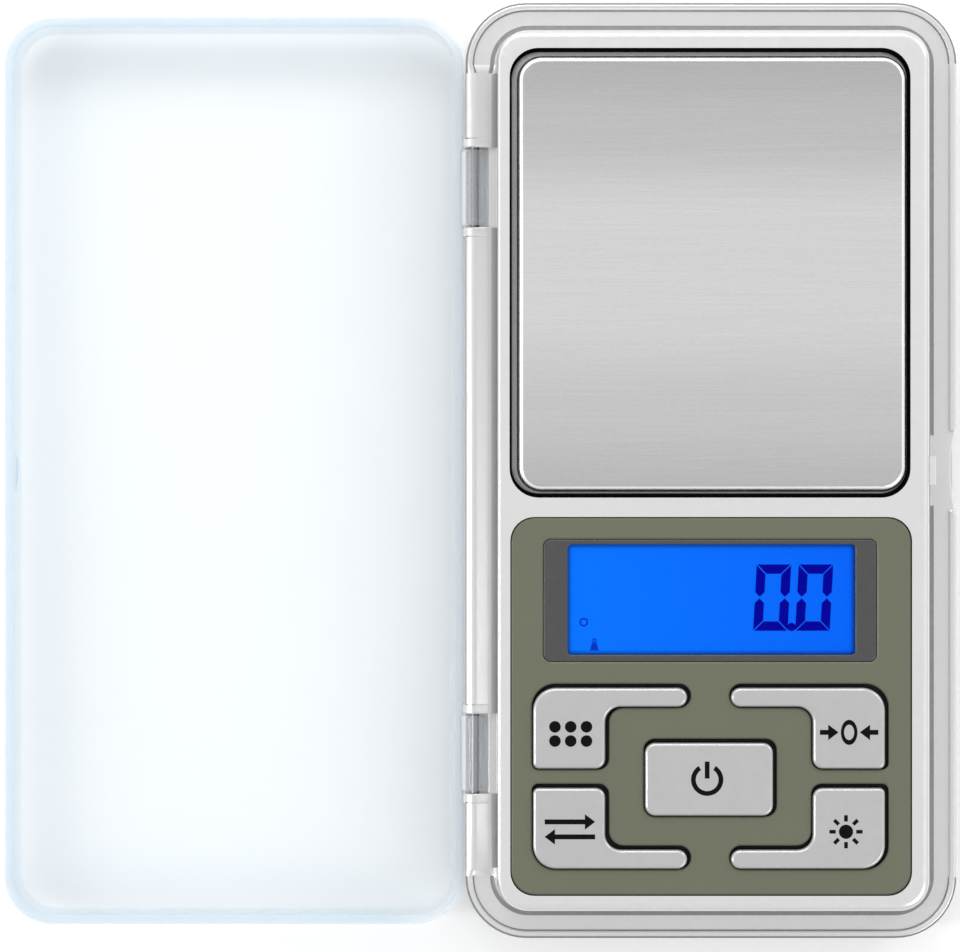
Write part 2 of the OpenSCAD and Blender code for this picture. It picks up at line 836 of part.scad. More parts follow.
module key_openings(z) {
    translate([0, 0, z[0]]) linear_extrude(z[1] - z[0]) {
        for (side = [count_side, units_side, tare_side, light_side])
            in_corner(side) corner_outline(key_gap);
        rounded(inset(centred(power_c, power_size), -key_gap), power_r + key_gap);
    }
}

// What is left of a key's outline once its +X and +Y sides are trimmed
module trimmed() {
    intersection() {
        children();
        translate([-key_trim, -key_trim]) children();
    }
}

module corner_key(side) {
    color("silver") {
        translate([0, 0, flange_z]) linear_extrude(key_z - flange_z)
            trimmed() in_corner(side) corner_outline(0);
        translate([0, 0, flange_z]) linear_extrude(plate_z - flange_z)
            in_corner(side) corner_outline(flange_w);
    }
}

module key_power() {
    b = centred(power_c, power_size);
    color("silver") {
        translate([0, 0, flange_z]) linear_extrude(key_z - flange_z) trimmed() rounded(b, power_r);
        slab(inset(b, -flange_w), [flange_z, plate_z], power_r + flange_w);
    }
}

module plunger(i) {
    color("black") post(switch_at[i], plunger_r, [plunger_z, flange_z]);
}

module battery_door() {
    color("silver")
    difference() {
        intersection() {
            lower_shape();
            union() {
                box([door_x[0], -body_y1, door_x[1], door_y1], door_z);
                box([door_x[0] - tongue_w, -body_y1, door_x[1] + tongue_w, door_y1], tongue_z);
            }
        }
        for (i = [0 : grip_n - 1])
            translate([face_c[0], door_y1 - grip_inset - grip_pitch * i, base_z])
                cube(grip, center = true);
    }
}

bottom_case();
top_case();
faceplate();
display_lens();
lcd_glass();
lcd_backlight();
zebra_connector();
main_pcb();
pcb_components();
pcb_screws();
tact_switches();
load_cell();
strain_gauges();
load_cell_screws();
overload_stop_screw();
gauge_wire(0, "red");  // gauge_wire_red
gauge_wire(1, "black");  // gauge_wire_black
gauge_wire(2, "green");  // gauge_wire_green
gauge_wire(3, "white");  // gauge_wire_white
battery_lead(red_route, "red");  // battery_lead_red
battery_lead(black_route, "black");  // battery_lead_black
battery_cell(1, bay_y[0]);  // battery_cell_1
battery_cell(-1, bay_y[1]);  // battery_cell_2
battery_spring_contact();
battery_plate_contact();
battery_bridge_contact();
case_screws();
foot(0);  // foot_1
foot(1);  // foot_2
foot(2);  // foot_3
foot(3);  // foot_4
hinge_pin(1);  // hinge_pin_upper
hinge_pin(-1);  // hinge_pin_lower
lid();
weighing_pan();
pan_carrier();
pan_carrier_screws();
pan_adhesive_pads();
corner_key(count_side);  // key_count
corner_key(units_side);  // key_units
corner_key(tare_side);  // key_tare
corner_key(light_side);  // key_light
key_power();
plunger(0);  // plunger_count
plunger(1);  // plunger_units
plunger(2);  // plunger_tare
plunger(3);  // plunger_light
plunger(4);  // plunger_power
battery_door();
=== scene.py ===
"""Pocket gram scale with its clear lid swung open: fine meshes, materials, light and camera.

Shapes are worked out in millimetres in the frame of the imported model, and turned into metres as
each mesh is made.
"""

from math import acos, asin, cos, degrees, hypot, radians, sin, sqrt

import bmesh
import bpy
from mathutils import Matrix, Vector
from mathutils.geometry import delaunay_2d_cdt


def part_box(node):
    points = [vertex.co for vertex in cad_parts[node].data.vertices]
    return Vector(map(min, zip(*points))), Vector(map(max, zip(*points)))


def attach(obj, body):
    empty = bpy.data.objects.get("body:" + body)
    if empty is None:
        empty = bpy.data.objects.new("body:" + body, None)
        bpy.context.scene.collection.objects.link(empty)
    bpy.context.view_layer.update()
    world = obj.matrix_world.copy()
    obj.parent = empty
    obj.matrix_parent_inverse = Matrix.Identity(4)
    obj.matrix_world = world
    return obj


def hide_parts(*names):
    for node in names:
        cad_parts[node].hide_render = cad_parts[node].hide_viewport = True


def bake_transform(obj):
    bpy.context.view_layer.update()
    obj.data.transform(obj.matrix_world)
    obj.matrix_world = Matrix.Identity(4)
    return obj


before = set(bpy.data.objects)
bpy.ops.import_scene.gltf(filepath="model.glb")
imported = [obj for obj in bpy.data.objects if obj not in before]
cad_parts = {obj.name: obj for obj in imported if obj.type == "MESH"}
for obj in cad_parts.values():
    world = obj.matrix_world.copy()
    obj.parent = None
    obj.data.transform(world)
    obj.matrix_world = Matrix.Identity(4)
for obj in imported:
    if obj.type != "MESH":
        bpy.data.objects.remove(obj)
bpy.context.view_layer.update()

MM = 0.001


def box_mm(name):
    """Lowest and highest corner of a CAD node, in millimetres."""
    low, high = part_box(name)
    return [v / MM for v in low], [v / MM for v in high]


def plan_mm(name):
    """Bounds of a CAD node seen from above: low x, low y, high x, high y."""
    low, high = box_mm(name)
    return [low[0], low[1], high[0], high[1]]


def middle(bounds):
    return ((bounds[0] + bounds[2]) / 2, (bounds[1] + bounds[3]) / 2)


def centred(centre, size):
    return [centre[0] - size[0] / 2, centre[1] - size[1] / 2,
            centre[0] + size[0] / 2, centre[1] + size[1] / 2]


def corners(bounds):
    x0, y0, x1, y1 = bounds
    return [(x0, y0), (x1, y0), (x1, y1), (x0, y1)]


def inset(bounds, d):
    return [bounds[0] + d, bounds[1] + d, bounds[2] - d, bounds[3] - d]


# ---- outlines and profiles

def arc(cx, cy, r, start, end, steps):
    """Points on an arc, with its angles in degrees."""
    angles = [radians(start + (end - start) * k / steps) for k in range(steps + 1)]
    return [(cx + r * cos(a), cy + r * sin(a)) for a in angles]


def circle(cx, cy, r, count):
    return arc(cx, cy, r, 0, 360 - 360 / count, count - 1)


def rounded(bounds, r, steps=12, left=(), right=()):
    """Rectangle with round corners, anticlockwise, with extra points up its right and left sides."""
    x0, y0, x1, y1 = bounds
    points = arc(x0 + r, y0 + r, r, 180, 270, steps)
    points += arc(x1 - r, y0 + r, r, 270, 360, steps)
    points += [(x1, y) for y in right]
    points += arc(x1 - r, y1 - r, r, 0, 90, steps)
    points += arc(x0 + r, y1 - r, r, 90, 180, steps)
    points += [(x0, y) for y in reversed(left)]
    return points


def growing(bounds, r, steps):
    """Rectangle with round corners, as a function of how far it is grown all round."""
    return lambda g: rounded(inset(bounds, -g), r + g, steps)


def quarter(r, steps):
    """(inset, drop) along a quarter round: from the side wall, at drop r, to the top face, at drop 0."""
    angles = [radians(90 * k / steps) for k in range(steps + 1)]
    return [(r * (1 - cos(a)), r * (1 - sin(a))) for a in angles]


def chamfer(width):
    """(inset, drop) from a side wall up a chamfer of this width, with soft ends, to the face above."""
    steps = ((0, 0.75), (0.02, 0.66), (0.09, 0.56), (0.8, 0.12), (0.9, 0.04), (1, 0))
    return [(width * d, width * drop) for d, drop in steps]


# ---- mesh building

SHARP_ANGLE = radians(32)


def vertices(bm, points):
    """Vertices at points given in millimetres."""
    return [bm.verts.new([v * MM for v in point]) for point in points]


def ring(bm, outline, z):
    return vertices(bm, [(x, y, z) for x, y in outline])


def band(bm, low, high, material=0):
    """Quads between two rings of vertices, all of one material or each of its own."""
    count = len(low)
    for i in range(count):
        after = (i + 1) % count
        face = bm.faces.new([low[i], low[after], high[after], high[i]])
        face.material_index = material[i] if isinstance(material, list) else material


def bands(bm, rings, material=0):
    """Bands from each ring to the next."""
    for low, high in zip(rings, rings[1:]):
        band(bm, low, high, material)


def upright(bm, outline, low, high, material=0):
    """Upright wall on an outline. Returns its low and its high ring."""
    rings = ring(bm, outline, low), ring(bm, outline, high)
    band(bm, *rings, material)
    return rings


def fill(bm, loops, material=0, axes=(0, 1)):
    """Flat face inside the first loop of vertices and outside the others, across the given axes."""
    verts = [v for loop in loops for v in loop]
    points = [Vector((v.co[axes[0]], v.co[axes[1]])) / MM for v in verts]
    edges = []
    for loop in loops:
        first = len(edges)
        edges += [(first + i, first + (i + 1) % len(loop)) for i in range(len(loop))]
    out_points, _, faces, origin, _, _ = delaunay_2d_cdt(points, edges, [], 0, 1e-5)
    for face in faces:
        centre = sum((out_points[i] for i in face), Vector((0, 0))) / len(face)
        crossings = 0
        for a, b in edges:
            p, q = points[a], points[b]
            if (p.y > centre.y) != (q.y > centre.y):
                x = p.x + (centre.y - p.y) / (q.y - p.y) * (q.x - p.x)
                crossings += x > centre.x
        if crossings % 2:
            made = bm.faces.new([verts[origin[i][0]] for i in face])
            made.material_index = material


def prism(bm, outline, low, high):
    """Upright solid on a plain outline."""
    for level in upright(bm, outline, low, high):
        fill(bm, [level])


def hollow_prism(bm, outlines, low, high):
    """Upright solid between an outer and an inner outline."""
    walls = [upright(bm, outline, low, high) for outline in outlines]
    for level in zip(*walls):
        fill(bm, level)


def plate_side(bm, outline_at, low, top, profile, way):
    """Side of a plate with a shaped top edge: way is 1 round its outside and -1 round a hole."""
    rings = [ring(bm, outline_at(0), low)]
    rings += [ring(bm, outline_at(-way * d), top - drop) for d, drop in profile]
    bands(bm, rings)
    return rings[0], rings[-1]


def plate(bm, outline_at, low, top, profile, holes_at=()):
    """Flat plate with shaped top edges, and a hole for each outline in holes_at."""
    sides = [plate_side(bm, outline_at, low, top, profile, 1)]
    sides += [plate_side(bm, hole_at, low, top, profile, -1) for hole_at in holes_at]
    for level in zip(*sides):
        fill(bm, level)


def link(made):
    bpy.context.scene.collection.objects.link(made)
    return made


def as_object(bm, name):
    mesh = bpy.data.meshes.new(name)
    bm.to_mesh(mesh)
    bm.free()
    return link(bpy.data.objects.new(name, mesh))


def shade_smooth(mesh):
    mesh.polygons.foreach_set("use_smooth", [True] * len(mesh.polygons))
    mesh.set_sharp_from_angle(angle=SHARP_ANGLE)


def weigh_normals(piece):
    normals = piece.modifiers.new("Weighted normals", "WEIGHTED_NORMAL")
    normals.keep_sharp = True


def finish_mesh(bm, name, body, materials, replaces=(), weighted=True):
    """Makes the bmesh a piece, shaded smooth with sharp creases, riding on a body if one is given."""
    bmesh.ops.remove_doubles(bm, verts=bm.verts, dist=0.002 * MM)
    bmesh.ops.dissolve_degenerate(bm, edges=bm.edges, dist=0.001 * MM)
    bmesh.ops.recalc_face_normals(bm, faces=bm.faces)
    piece = as_object(bm, name)
    shade_smooth(piece.data)
    for material in materials if isinstance(materials, list) else [materials]:
        piece.data.materials.append(material)
    if weighted:
        weigh_normals(piece)
    if body:
        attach(piece, body)
    if replaces:
        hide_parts(*replaces)
    return piece


def loose_solid(bm, name):
    """A helper object that never becomes a piece."""
    bmesh.ops.remove_doubles(bm, verts=bm.verts, dist=0.001 * MM)
    bmesh.ops.recalc_face_normals(bm, faces=bm.faces)
    return as_object(bm, name)


def combine(piece, tools, operation):
    """Joins loose solids to the piece, or cuts them out of it, and removes them."""
    for number, tool in enumerate(tools):
        step = piece.modifiers.new(f"Combine {number}", "BOOLEAN")
        step.operation = operation
        step.solver = "EXACT"
        step.object = tool
    graph = bpy.context.evaluated_depsgraph_get()
    made = bpy.data.meshes.new_from_object(piece.evaluated_get(graph))
    piece.modifiers.clear()
    piece.data = made
    for tool in tools:
        bpy.data.objects.remove(tool, do_unlink=True)


# ---- materials

def feed(tree, socket, value):
    """Gives an input a number, a colour as a tuple, or a link from another socket."""
    if isinstance(value, bpy.types.NodeSocket):
        tree.links.new(value, socket)
    else:
        socket.default_value = (*value, 1) if isinstance(value, tuple) else value


def node(tree, kind, **values):
    """New node with its inputs fed and its settings made. An underscore stands for a space."""
    made = tree.nodes.new(kind)
    for key, value in values.items():
        name = key.replace("_", " ")
        if name in made.inputs:
            feed(tree, made.inputs[name], value)
        else:
            setattr(made, key, value)
    return made


def new_material(name):
    material = bpy.data.materials.new(name)
    material.use_nodes = True
    return material, material.node_tree


def set_shader(tree, **values):
    """Feeds inputs of the material's own shader. An underscore stands for a space."""
    inputs = tree.nodes["Principled BSDF"].inputs
    for key, value in values.items():
        feed(tree, inputs[key.replace("_", " ")], value)


def place_axes(tree, output="Object"):
    """X, Y and Z of the place on the object, in metres, or of another output."""
    place = node(tree, "ShaderNodeTexCoord")
    return node(tree, "ShaderNodeSeparateXYZ", Vector=place.outputs[output]).outputs


def in_mm(tree, scale=(1, 1, 1)):
    """Place on the object, in millimetres times scale."""
    place = node(tree, "ShaderNodeTexCoord").outputs["Object"]
    return node(tree, "ShaderNodeMapping", Scale=[s / MM for s in scale], Vector=place).outputs["Vector"]


def noise(tree, where, scale, detail=2.0, rough=0.5):
    return node(tree, "ShaderNodeTexNoise", Scale=scale, Detail=detail, Roughness=rough,
                Vector=where).outputs["Fac"]


def remap(tree, value, low, high, start=0.35, end=0.65):
    """Takes start to low and end to high, and holds the value there beyond them."""
    return node(tree, "ShaderNodeMapRange", From_Min=start, From_Max=end, To_Min=low, To_Max=high,
                Value=value).outputs["Result"]


def mix_colour(tree, factor, a, b, how="MIX"):
    """Mix of two colours, each a tuple or a socket."""
    return node(tree, "ShaderNodeMix", data_type="RGBA", blend_type=how, Factor=factor,
                A=a, B=b).outputs["Result"]


def product(tree, a, b):
    made = node(tree, "ShaderNodeMath", operation="MULTIPLY")
    tree.links.new(a, made.inputs[0])
    tree.links.new(b, made.inputs[1])
    return made.outputs["Value"]


def colour_ramp(tree, where, stops, interpolation="EASE"):
    """Colour from a ramp with the given stops, as (position, colour) pairs."""
    made = node(tree, "ShaderNodeValToRGB", Fac=where)
    ramp = made.color_ramp
    ramp.interpolation = interpolation
    while len(ramp.elements) < len(stops):
        ramp.elements.new(0.5)
    for element, (position, colour) in zip(ramp.elements, stops):
        element.position = position
        element.color = (*colour, 1)
    return made.outputs["Color"]


def shade(colour, factor):
    return tuple(min(1.0, c * factor) for c in colour)


def bump(tree, height, strength, distance):
    return node(tree, "ShaderNodeBump", Strength=strength, Distance=distance * MM,
                Height=height).outputs["Normal"]


def surface(name, colour, rough, metal=0.0, grain=2.5, stretch=(1, 1, 1), mottle=0.05,
            gloss_spread=0.06, relief=0.004, coat=0.0, specular=0.5):
    """A moulded, painted or metal surface: slightly uneven colour and gloss, and a fine texture."""
    material, tree = new_material(name)
    where = in_mm(tree, stretch)
    fine = noise(tree, where, grain, 3.0)
    broad = noise(tree, in_mm(tree), 0.07)
    tints = [mix_colour(tree, remap(tree, spread, 0, 1), shade(colour, 1 - share), shade(colour, 1 + share))
             for spread, share in ((fine, mottle), (broad, mottle / 2))]
    gloss = remap(tree, noise(tree, where, grain * 0.6), rough - gloss_spread, rough + gloss_spread)
    set_shader(tree, Base_Color=mix_colour(tree, 0.5, *tints), Roughness=gloss,
               Normal=bump(tree, fine, 0.6, relief), Metallic=metal, Specular_IOR_Level=specular,
               Coat_Weight=coat, Coat_Roughness=0.12)
    return material


SILVER = surface("silver_paint", (0.67, 0.67, 0.67), 0.24, metal=0.6, grain=1.3, mottle=0.012,
                 gloss_spread=0.03, relief=0.0008)
# Darker silver laid on the top case's silhouette and corner bands as painted shade
SHADED_SILVER = surface("silver_painted_shade", (0.21, 0.21, 0.215), 0.5, metal=0.3, grain=1.3,
                        mottle=0.1, relief=0.0008, specular=0.15)
KEY_SILVER = surface("key_paint", (0.45, 0.45, 0.45), 0.32, metal=0.55, grain=1.3, mottle=0.012,
                     gloss_spread=0.03, relief=0.0003, coat=0.25)
# Near-black plastic: unpainted inside the case, and also laid on the walls of gaps and recesses and on a band
# of the pan as painted shade
DARK_PLASTIC_AND_SHADE = surface("unpainted_plastic_and_painted_shade", (0.012, 0.012, 0.013), 0.55, grain=5.0, mottle=0.2, specular=0.2)
OLIVE = surface("panel_paint", (0.101, 0.105, 0.071), 0.42, metal=0.1, grain=6.0, relief=0.002)
MASK = surface("lens_print", (0.041, 0.041, 0.043), 0.3, grain=1.2, mottle=0.03, relief=0.0008, coat=0.15)
INK = surface("legend_ink", (0.0012, 0.0012, 0.0014), 0.6, grain=9.0, mottle=0.25, specular=0.08)
RUBBER = surface("foot_rubber", (0.05, 0.05, 0.055), 0.75, grain=4.0, mottle=0.12, relief=0.01,
                 specular=0.25)
PINK_RUBBER = surface("connector_rubber", (0.62, 0.28, 0.30), 0.6, grain=3.0, stretch=(4, 0.3, 0.3),
                      mottle=0.25)
BLACK_PART = surface("component_resin", (0.02, 0.02, 0.022), 0.5, grain=5.0, mottle=0.2)
PIN_STEEL = surface("pin_steel", (0.19, 0.19, 0.20), 0.33, metal=1.0, grain=4.0, stretch=(1, 5, 1),
                    mottle=0.1)
# Steel darkened for the pan's hem and underside, as painted shade of the recess
HEM_SHADE_STEEL = surface("hem_shade_steel", (0.30, 0.30, 0.30), 0.5, metal=1.0, grain=3.0, mottle=0.08)
# Lighter steel on the pan's rolled edge, as a painted highlight
ROLLED_HIGHLIGHT_STEEL = surface("rolled_highlight_steel", (0.94, 0.94, 0.935), 0.26, metal=1.0, grain=2.0,
                       stretch=(0.3, 0.3, 3), mottle=0.03, relief=0.001)
STEEL = surface("screw_steel", (0.52, 0.52, 0.53), 0.3, metal=1.0, grain=4.0, stretch=(1, 1, 5),
                mottle=0.08)
ALUMINIUM = surface("milled_aluminium", (0.72, 0.73, 0.74), 0.34, metal=1.0, grain=2.0,
                    stretch=(0.3, 6, 0.3), mottle=0.07)
NICKEL = surface("contact_nickel", (0.62, 0.60, 0.56), 0.25, metal=1.0, grain=4.0)
FOIL = surface("gauge_foil", (0.72, 0.42, 0.10), 0.4, metal=0.3, grain=2.0, stretch=(6, 0.4, 1),
               mottle=0.3)
WHITE_PLASTIC = surface("carrier_plastic", (0.78, 0.78, 0.76), 0.45, grain=3.0, mottle=0.03)
PAD = surface("adhesive_pad", (0.82, 0.78, 0.66), 0.8, grain=5.0, mottle=0.1, relief=0.02)
BACKLIGHT = surface("backlight_block", (0.30, 0.62, 0.95), 0.35, grain=2.0)
WIRES = {name: surface(f"wire_{name}", colour, 0.42, grain=3.0, mottle=0.06) for name, colour in (
    ("red", (0.55, 0.02, 0.02)), ("black", (0.015, 0.015, 0.015)),
    ("green", (0.03, 0.30, 0.06)), ("white", (0.75, 0.75, 0.72)))}


def brushed_steel():
    """Pan steel: fine scratches along X, and a painted reflection across the sheet, lighter through the
    middle and darker towards both ends along Y.
    """
    material, tree = new_material("brushed_steel")
    scratch = noise(tree, in_mm(tree, (0.05, 9, 9)), 1.6, 5.0, 0.6)
    speck = noise(tree, in_mm(tree, (0.6, 2.5, 2.5)), 2.2, 3.0)
    along = remap(tree, place_axes(tree)["Y"], 0, 1, PAN[1] * MM, PAN[3] * MM)
    # Painted reflection: the steel's colour rises and falls along Y
    painted_sheen_levels = [(0.0, 0.62), (0.18, 0.71), (0.42, 0.82), (0.62, 0.81), (0.82, 0.64), (1.0, 0.54)]
    made = colour_ramp(tree, along, [(position, (v, v, v * 0.995)) for position, v in painted_sheen_levels])
    for marks in (scratch, speck):
        tone = mix_colour(tree, remap(tree, marks, 0, 1, 0.3, 0.7), (0.95, 0.95, 0.95), (1.0, 1.0, 1.0))
        made = mix_colour(tree, 1.0, made, tone, "MULTIPLY")
    set_shader(tree, Base_Color=made, Metallic=1.0, Roughness=remap(tree, scratch, 0.24, 0.30, 0.3, 0.7),
               Normal=bump(tree, scratch, 0.4, 0.0012))
    return material


def clear_plastic(name, flat, wall, head_on, aslant):
    """Clear styrene: faint on the flat and milky at a slant, with flat and wall as its two tints; near the
    hinge the wall takes the flat's lighter tint, as painted light where the case shades it.

    head_on is how much it hides on the flat and up a wall when faced, aslant when seen edge on.
    """
    material, tree = new_material(name)
    haze = noise(tree, in_mm(tree), 0.12, 3.0)
    axes = place_axes(tree)
    rise = remap(tree, axes["Z"], 0, 1, 1.2 * MM, 3.0 * MM)
    # Painted light: the walls are lighter near the hinge
    hinge_side_painted_light = remap(tree, axes["X"], 0, 1, -12 * MM, -5 * MM)
    tint = mix_colour(tree, rise, flat, mix_colour(tree, hinge_side_painted_light, wall, flat))
    cloud = mix_colour(tree, haze, (0.95, 0.95, 0.95), (1.0, 1.0, 1.0))
    facing = node(tree, "ShaderNodeLayerWeight", Blend=0.5).outputs["Facing"]
    alpha = node(tree, "ShaderNodeMix", data_type="FLOAT", Factor=remap(tree, facing, 0, 1, 0.25, 1.0),
                 A=remap(tree, rise, *head_on, 0, 1), B=aslant).outputs["Result"]
    set_shader(tree, Base_Color=mix_colour(tree, 1.0, tint, cloud, "MULTIPLY"),
               Roughness=remap(tree, haze, 0.03, 0.08), Alpha=alpha)
    absorb = node(tree, "ShaderNodeVolumeAbsorption", Color=(0.0, 0.36, 0.58), Density=33.0)
    tree.links.new(absorb.outputs["Volume"], tree.nodes["Material Output"].inputs["Volume"])
    return material


def clear_cover():
    """Thin clear window over the display: nearly all see-through, with a soft gloss."""
    material, tree = new_material("window_clear")
    smear = noise(tree, in_mm(tree), 0.3, 3.0)
    set_shader(tree, Base_Color=(0.01, 0.01, 0.015), Alpha=0.03, Specular_IOR_Level=0.05,
               Roughness=remap(tree, smear, 0.05, 0.14))
    return material


def lcd_glow(view):
    """Lit display: bright blue, a little deeper to the right, and dimmed along its edges as painted shade of
    the window's rim.
    """
    material, tree = new_material("lcd_blue")
    axes = place_axes(tree)
    fade, dim = 0.6, 0.2
    along = remap(tree, axes["X"], 0, 1, view[0] * MM, view[2] * MM)
    glow = None
    # Painted shade: the glow fades towards each edge of the window
    for side, (axis, way) in enumerate((("X", 1), ("Y", 1), ("X", -1), ("Y", -1))):
        edge = remap(tree, axes[axis], dim, 1, view[side] * MM, (view[side] + way * fade) * MM)
        glow = edge if glow is None else product(tree, glow, edge)
    set_shader(tree, Emission_Color=mix_colour(tree, along, (0.0, 0.16, 1.0), (0.0, 0.11, 0.91)),
               Emission_Strength=glow, Base_Color=(0.0, 0.02, 0.08), Roughness=0.3,
               Specular_IOR_Level=0.05)
    return material


def lcd_ink(name, light, dark):
    material, tree = new_material(name)
    grain = remap(tree, noise(tree, in_mm(tree), 3.0), 0, 1)
    set_shader(tree, Emission_Color=mix_colour(tree, grain, dark, light), Emission_Strength=0.95,
               Base_Color=(0.0, 0.0, 0.02), Roughness=0.6, Specular_IOR_Level=0.02)
    return material


def circuit_board():
    """Green solder mask with straight copper tracks under it."""
    material, tree = new_material("circuit_board")
    where = in_mm(tree)
    tracks = node(tree, "ShaderNodeTexBrick", Vector=where, Scale=0.28, Mortar_Size=0.035,
                  Color1=(0.01, 0.10, 0.035), Color2=(0.012, 0.12, 0.04), Mortar=(0.03, 0.24, 0.09))
    set_shader(tree, Base_Color=tracks.outputs["Color"],
               Roughness=remap(tree, noise(tree, where, 1.5), 0.28, 0.42),
               Normal=bump(tree, tracks.outputs["Fac"], 0.4, 0.03))
    return material


def cell_jacket(low, high):
    """Battery sleeve: dark body, a copper-coloured end and a thin ring between them."""
    material, tree = new_material("cell_jacket")
    bare, dark, grey, copper = (0.6, 0.58, 0.54), (0.03, 0.035, 0.05), (0.75, 0.76, 0.78), (0.60, 0.26, 0.08)
    stops = [(0.0, bare), (0.02, dark), (0.70, grey), (0.72, copper), (0.975, bare)]
    along = remap(tree, place_axes(tree)["X"], 0, 1, low * MM, high * MM)
    set_shader(tree, Base_Color=colour_ramp(tree, along, stops, "CONSTANT"), Metallic=0.7,
               Roughness=remap(tree, noise(tree, in_mm(tree), 1.0), 0.2, 0.34))
    return material


# ---- sizes shared by the pieces

BODY = plan_mm("bottom_case")
BODY_R = 7.8
PARTING_Z = box_mm("top_case")[0][2]
DECK_Z = box_mm("top_case")[1][2]
SHELF_Z = 11.0
LIP_Z = 11.5
LIP_W = 0.95
WALL = 1.6
FACE = plan_mm("faceplate")
FACE_R = 3.0
FACE_GAP = 0.05
PAN = plan_mm("weighing_pan")
# The hem's width on the hinge side, at the front, on the far side and at the back
HEM = (0.85, 0.4, 0.25, 0.7)
PAN_R, HEM_R = 3.0, 3.4
PIN = box_mm("hinge_pin_upper")
HINGE_X = (PIN[0][0] + PIN[1][0]) / 2
HINGE_Z = (PIN[0][2] + PIN[1][2]) / 2
SLOT_Y = (PIN[0][1] + PIN[1][1]) / 2
LENS = plan_mm("display_lens")
LENS_GAP = 0.05
POCKET_R = 1.0
KEY_FOOT, KEY_TOP = (corner[2] for corner in box_mm("key_power"))
CELL_X = 29.5

# The deck stands inside the body's edge, a little further in on the hinge side
DECK = [BODY[0] + 4.1, BODY[1] + 3.85, BODY[2] - 3.85, BODY[3] - 3.85]
DECK_R = 4.0
RECESS = [DECK[0] + 1.5, -3.45, DECK[2] - 2.65, DECK[3] - 2.5]
RECESS_R = 3.7
TRAY_Z, TRAY_FILLET = 14.0, 0.3
UNDER_Z = 12.8
SEAT_Z = DECK_Z - 0.4
POCKET_Z = DECK_Z - 0.8
PLATE_Z = DECK_Z - 1.2
VIEW = centred(middle(LENS), (38.4, 14.4))
PANEL_HOLLOW = [DECK[0] + WALL, DECK[1] + WALL, DECK[2] - WALL, RECESS[1] - 1.5]
CARRIER_HOLE = centred((CELL_X, 42.2), (11.6, 14.0))


# ---- key outlines

KEYS = ["count", "units", "tare", "light", "power"]
KEY_BLOCK = (9.5, 10.6)
ARM_L, ARM_W = 19.9, 2.75
KEY_FILLET = 2.0
# Corner radii of an L-shaped key: its outer corner, the one beside it, and the one across the block
KEY_R = (2.9, 0.7, 1.2)
SIDES = {"count": (-1, 1), "units": (-1, -1), "tare": (1, 1), "light": (1, -1)}
KEY_FLANGE = 0.8
KEY_GAP = 0.15
KEY_TRIM = 0.35
POWER_R = 1.3


def corner_key_outline(name, grow, trim):
    """Outline of an L-shaped key, anticlockwise, grown all round and trimmed on its +X and +Y sides."""
    side = SIDES[name]
    low, high = box_mm(f"key_{name}")
    corner = [(high if s > 0 else low)[i] - s * KEY_FLANGE for i, s in enumerate(side)]
    near_u, near_v = (trim if s > 0 else 0 for s in side)
    width, length = (size - (0 if s > 0 else trim) for size, s in zip(KEY_BLOCK, side))
    arm_high = ARM_W - trim + near_v
    tip = (arm_high - near_v) / 2
    arm_end = ARM_L - trim + near_u
    outer, beside, across = KEY_R
    points = arc(near_u + outer, near_v + outer, outer + grow, 180, 270, 10)
    points += arc(arm_end - tip, near_v + tip, tip + grow, -90, 90, 14)
    points += arc(width + KEY_FILLET, arm_high + KEY_FILLET, KEY_FILLET - grow, 270, 180, 10)
    points += arc(width - across, length - across, across + grow, 0, 90, 6)
    points += arc(near_u + beside, length - beside, beside + grow, 90, 180, 5)
    placed = [(corner[0] - side[0] * x, corner[1] - side[1] * y) for x, y in points]
    return placed if side[0] * side[1] > 0 else placed[::-1]


def key_outline(name, grow, trim=0):
    if name != "power":
        return corner_key_outline(name, grow, trim)
    x0, y0, x1, y1 = inset(plan_mm("key_power"), KEY_FLANGE)
    return growing([x0, y0, x1 - trim, y1 - trim], POWER_R, 6)(grow)


# ---- top case

# Half lengths along Y of what interrupts the body's edge
RAIL_HALF = 52.0
SLOT_HALF, KNUCKLE_HALF, BLOCK_HALF = 5.15, 6.35, 9.3
NOTCH_HALF, GAP_HALF, RAMP_HALF, CATCH_HALF = 5.8, 5.0, 4.5, 1.8
RAIL_R = LIP_Z - HINGE_Z
RAIL_END = 102
KNUCKLE_SOFT = 0.12
GROOVE_X0 = 1.2
GROOVE_Z = 10.2
GROOVE_DROP = 0.45
NOTCH_DEPTH = 0.75
NOTCH_R = (NOTCH_HALF ** 2 + NOTCH_DEPTH ** 2) / (2 * NOTCH_DEPTH)
LIP_R = 0.42
DECK_FOOT_R, RAMP_FOOT_R = 0.95, 0.12
RAMP_OUT, CATCH_OUT = 0.5, 0.7
DECK_EDGE, DECK_EDGE_LEFT = 1.2, 0.4
INSIDE_Z = 9.8
DECK_WALL, HINGE_WALL = 1.5, 4.2
CORNER_STEPS = 12

HINGE_SIDE = ("rail", "block", "knuckle", "slot")
STEPPED = ("ramp", "catch")


def notch_cut(y):
    """How far the finger notch cuts into the side at y."""
    if abs(y) >= NOTCH_HALF:
        return 0.0
    return NOTCH_DEPTH - (NOTCH_R - sqrt(NOTCH_R ** 2 - y ** 2))


def lip_profile(cut):
    """Rounded lip round the shelf, as (inset, z), cut back from outside in the finger notch."""
    outside = [(cut + d, LIP_Z - drop) for d, drop in quarter(LIP_R, 5)]
    inside = [(LIP_W - d, LIP_Z - 0.7 * drop) for d, drop in reversed(quarter(LIP_R, 4))]
    foot = [(LIP_W + d, SHELF_Z + rise) for d, rise in ((0.0, 0.18), (0.02, 0.1), (0.07, 0.04), (0.14, 0.01))]
    return outside + inside + foot


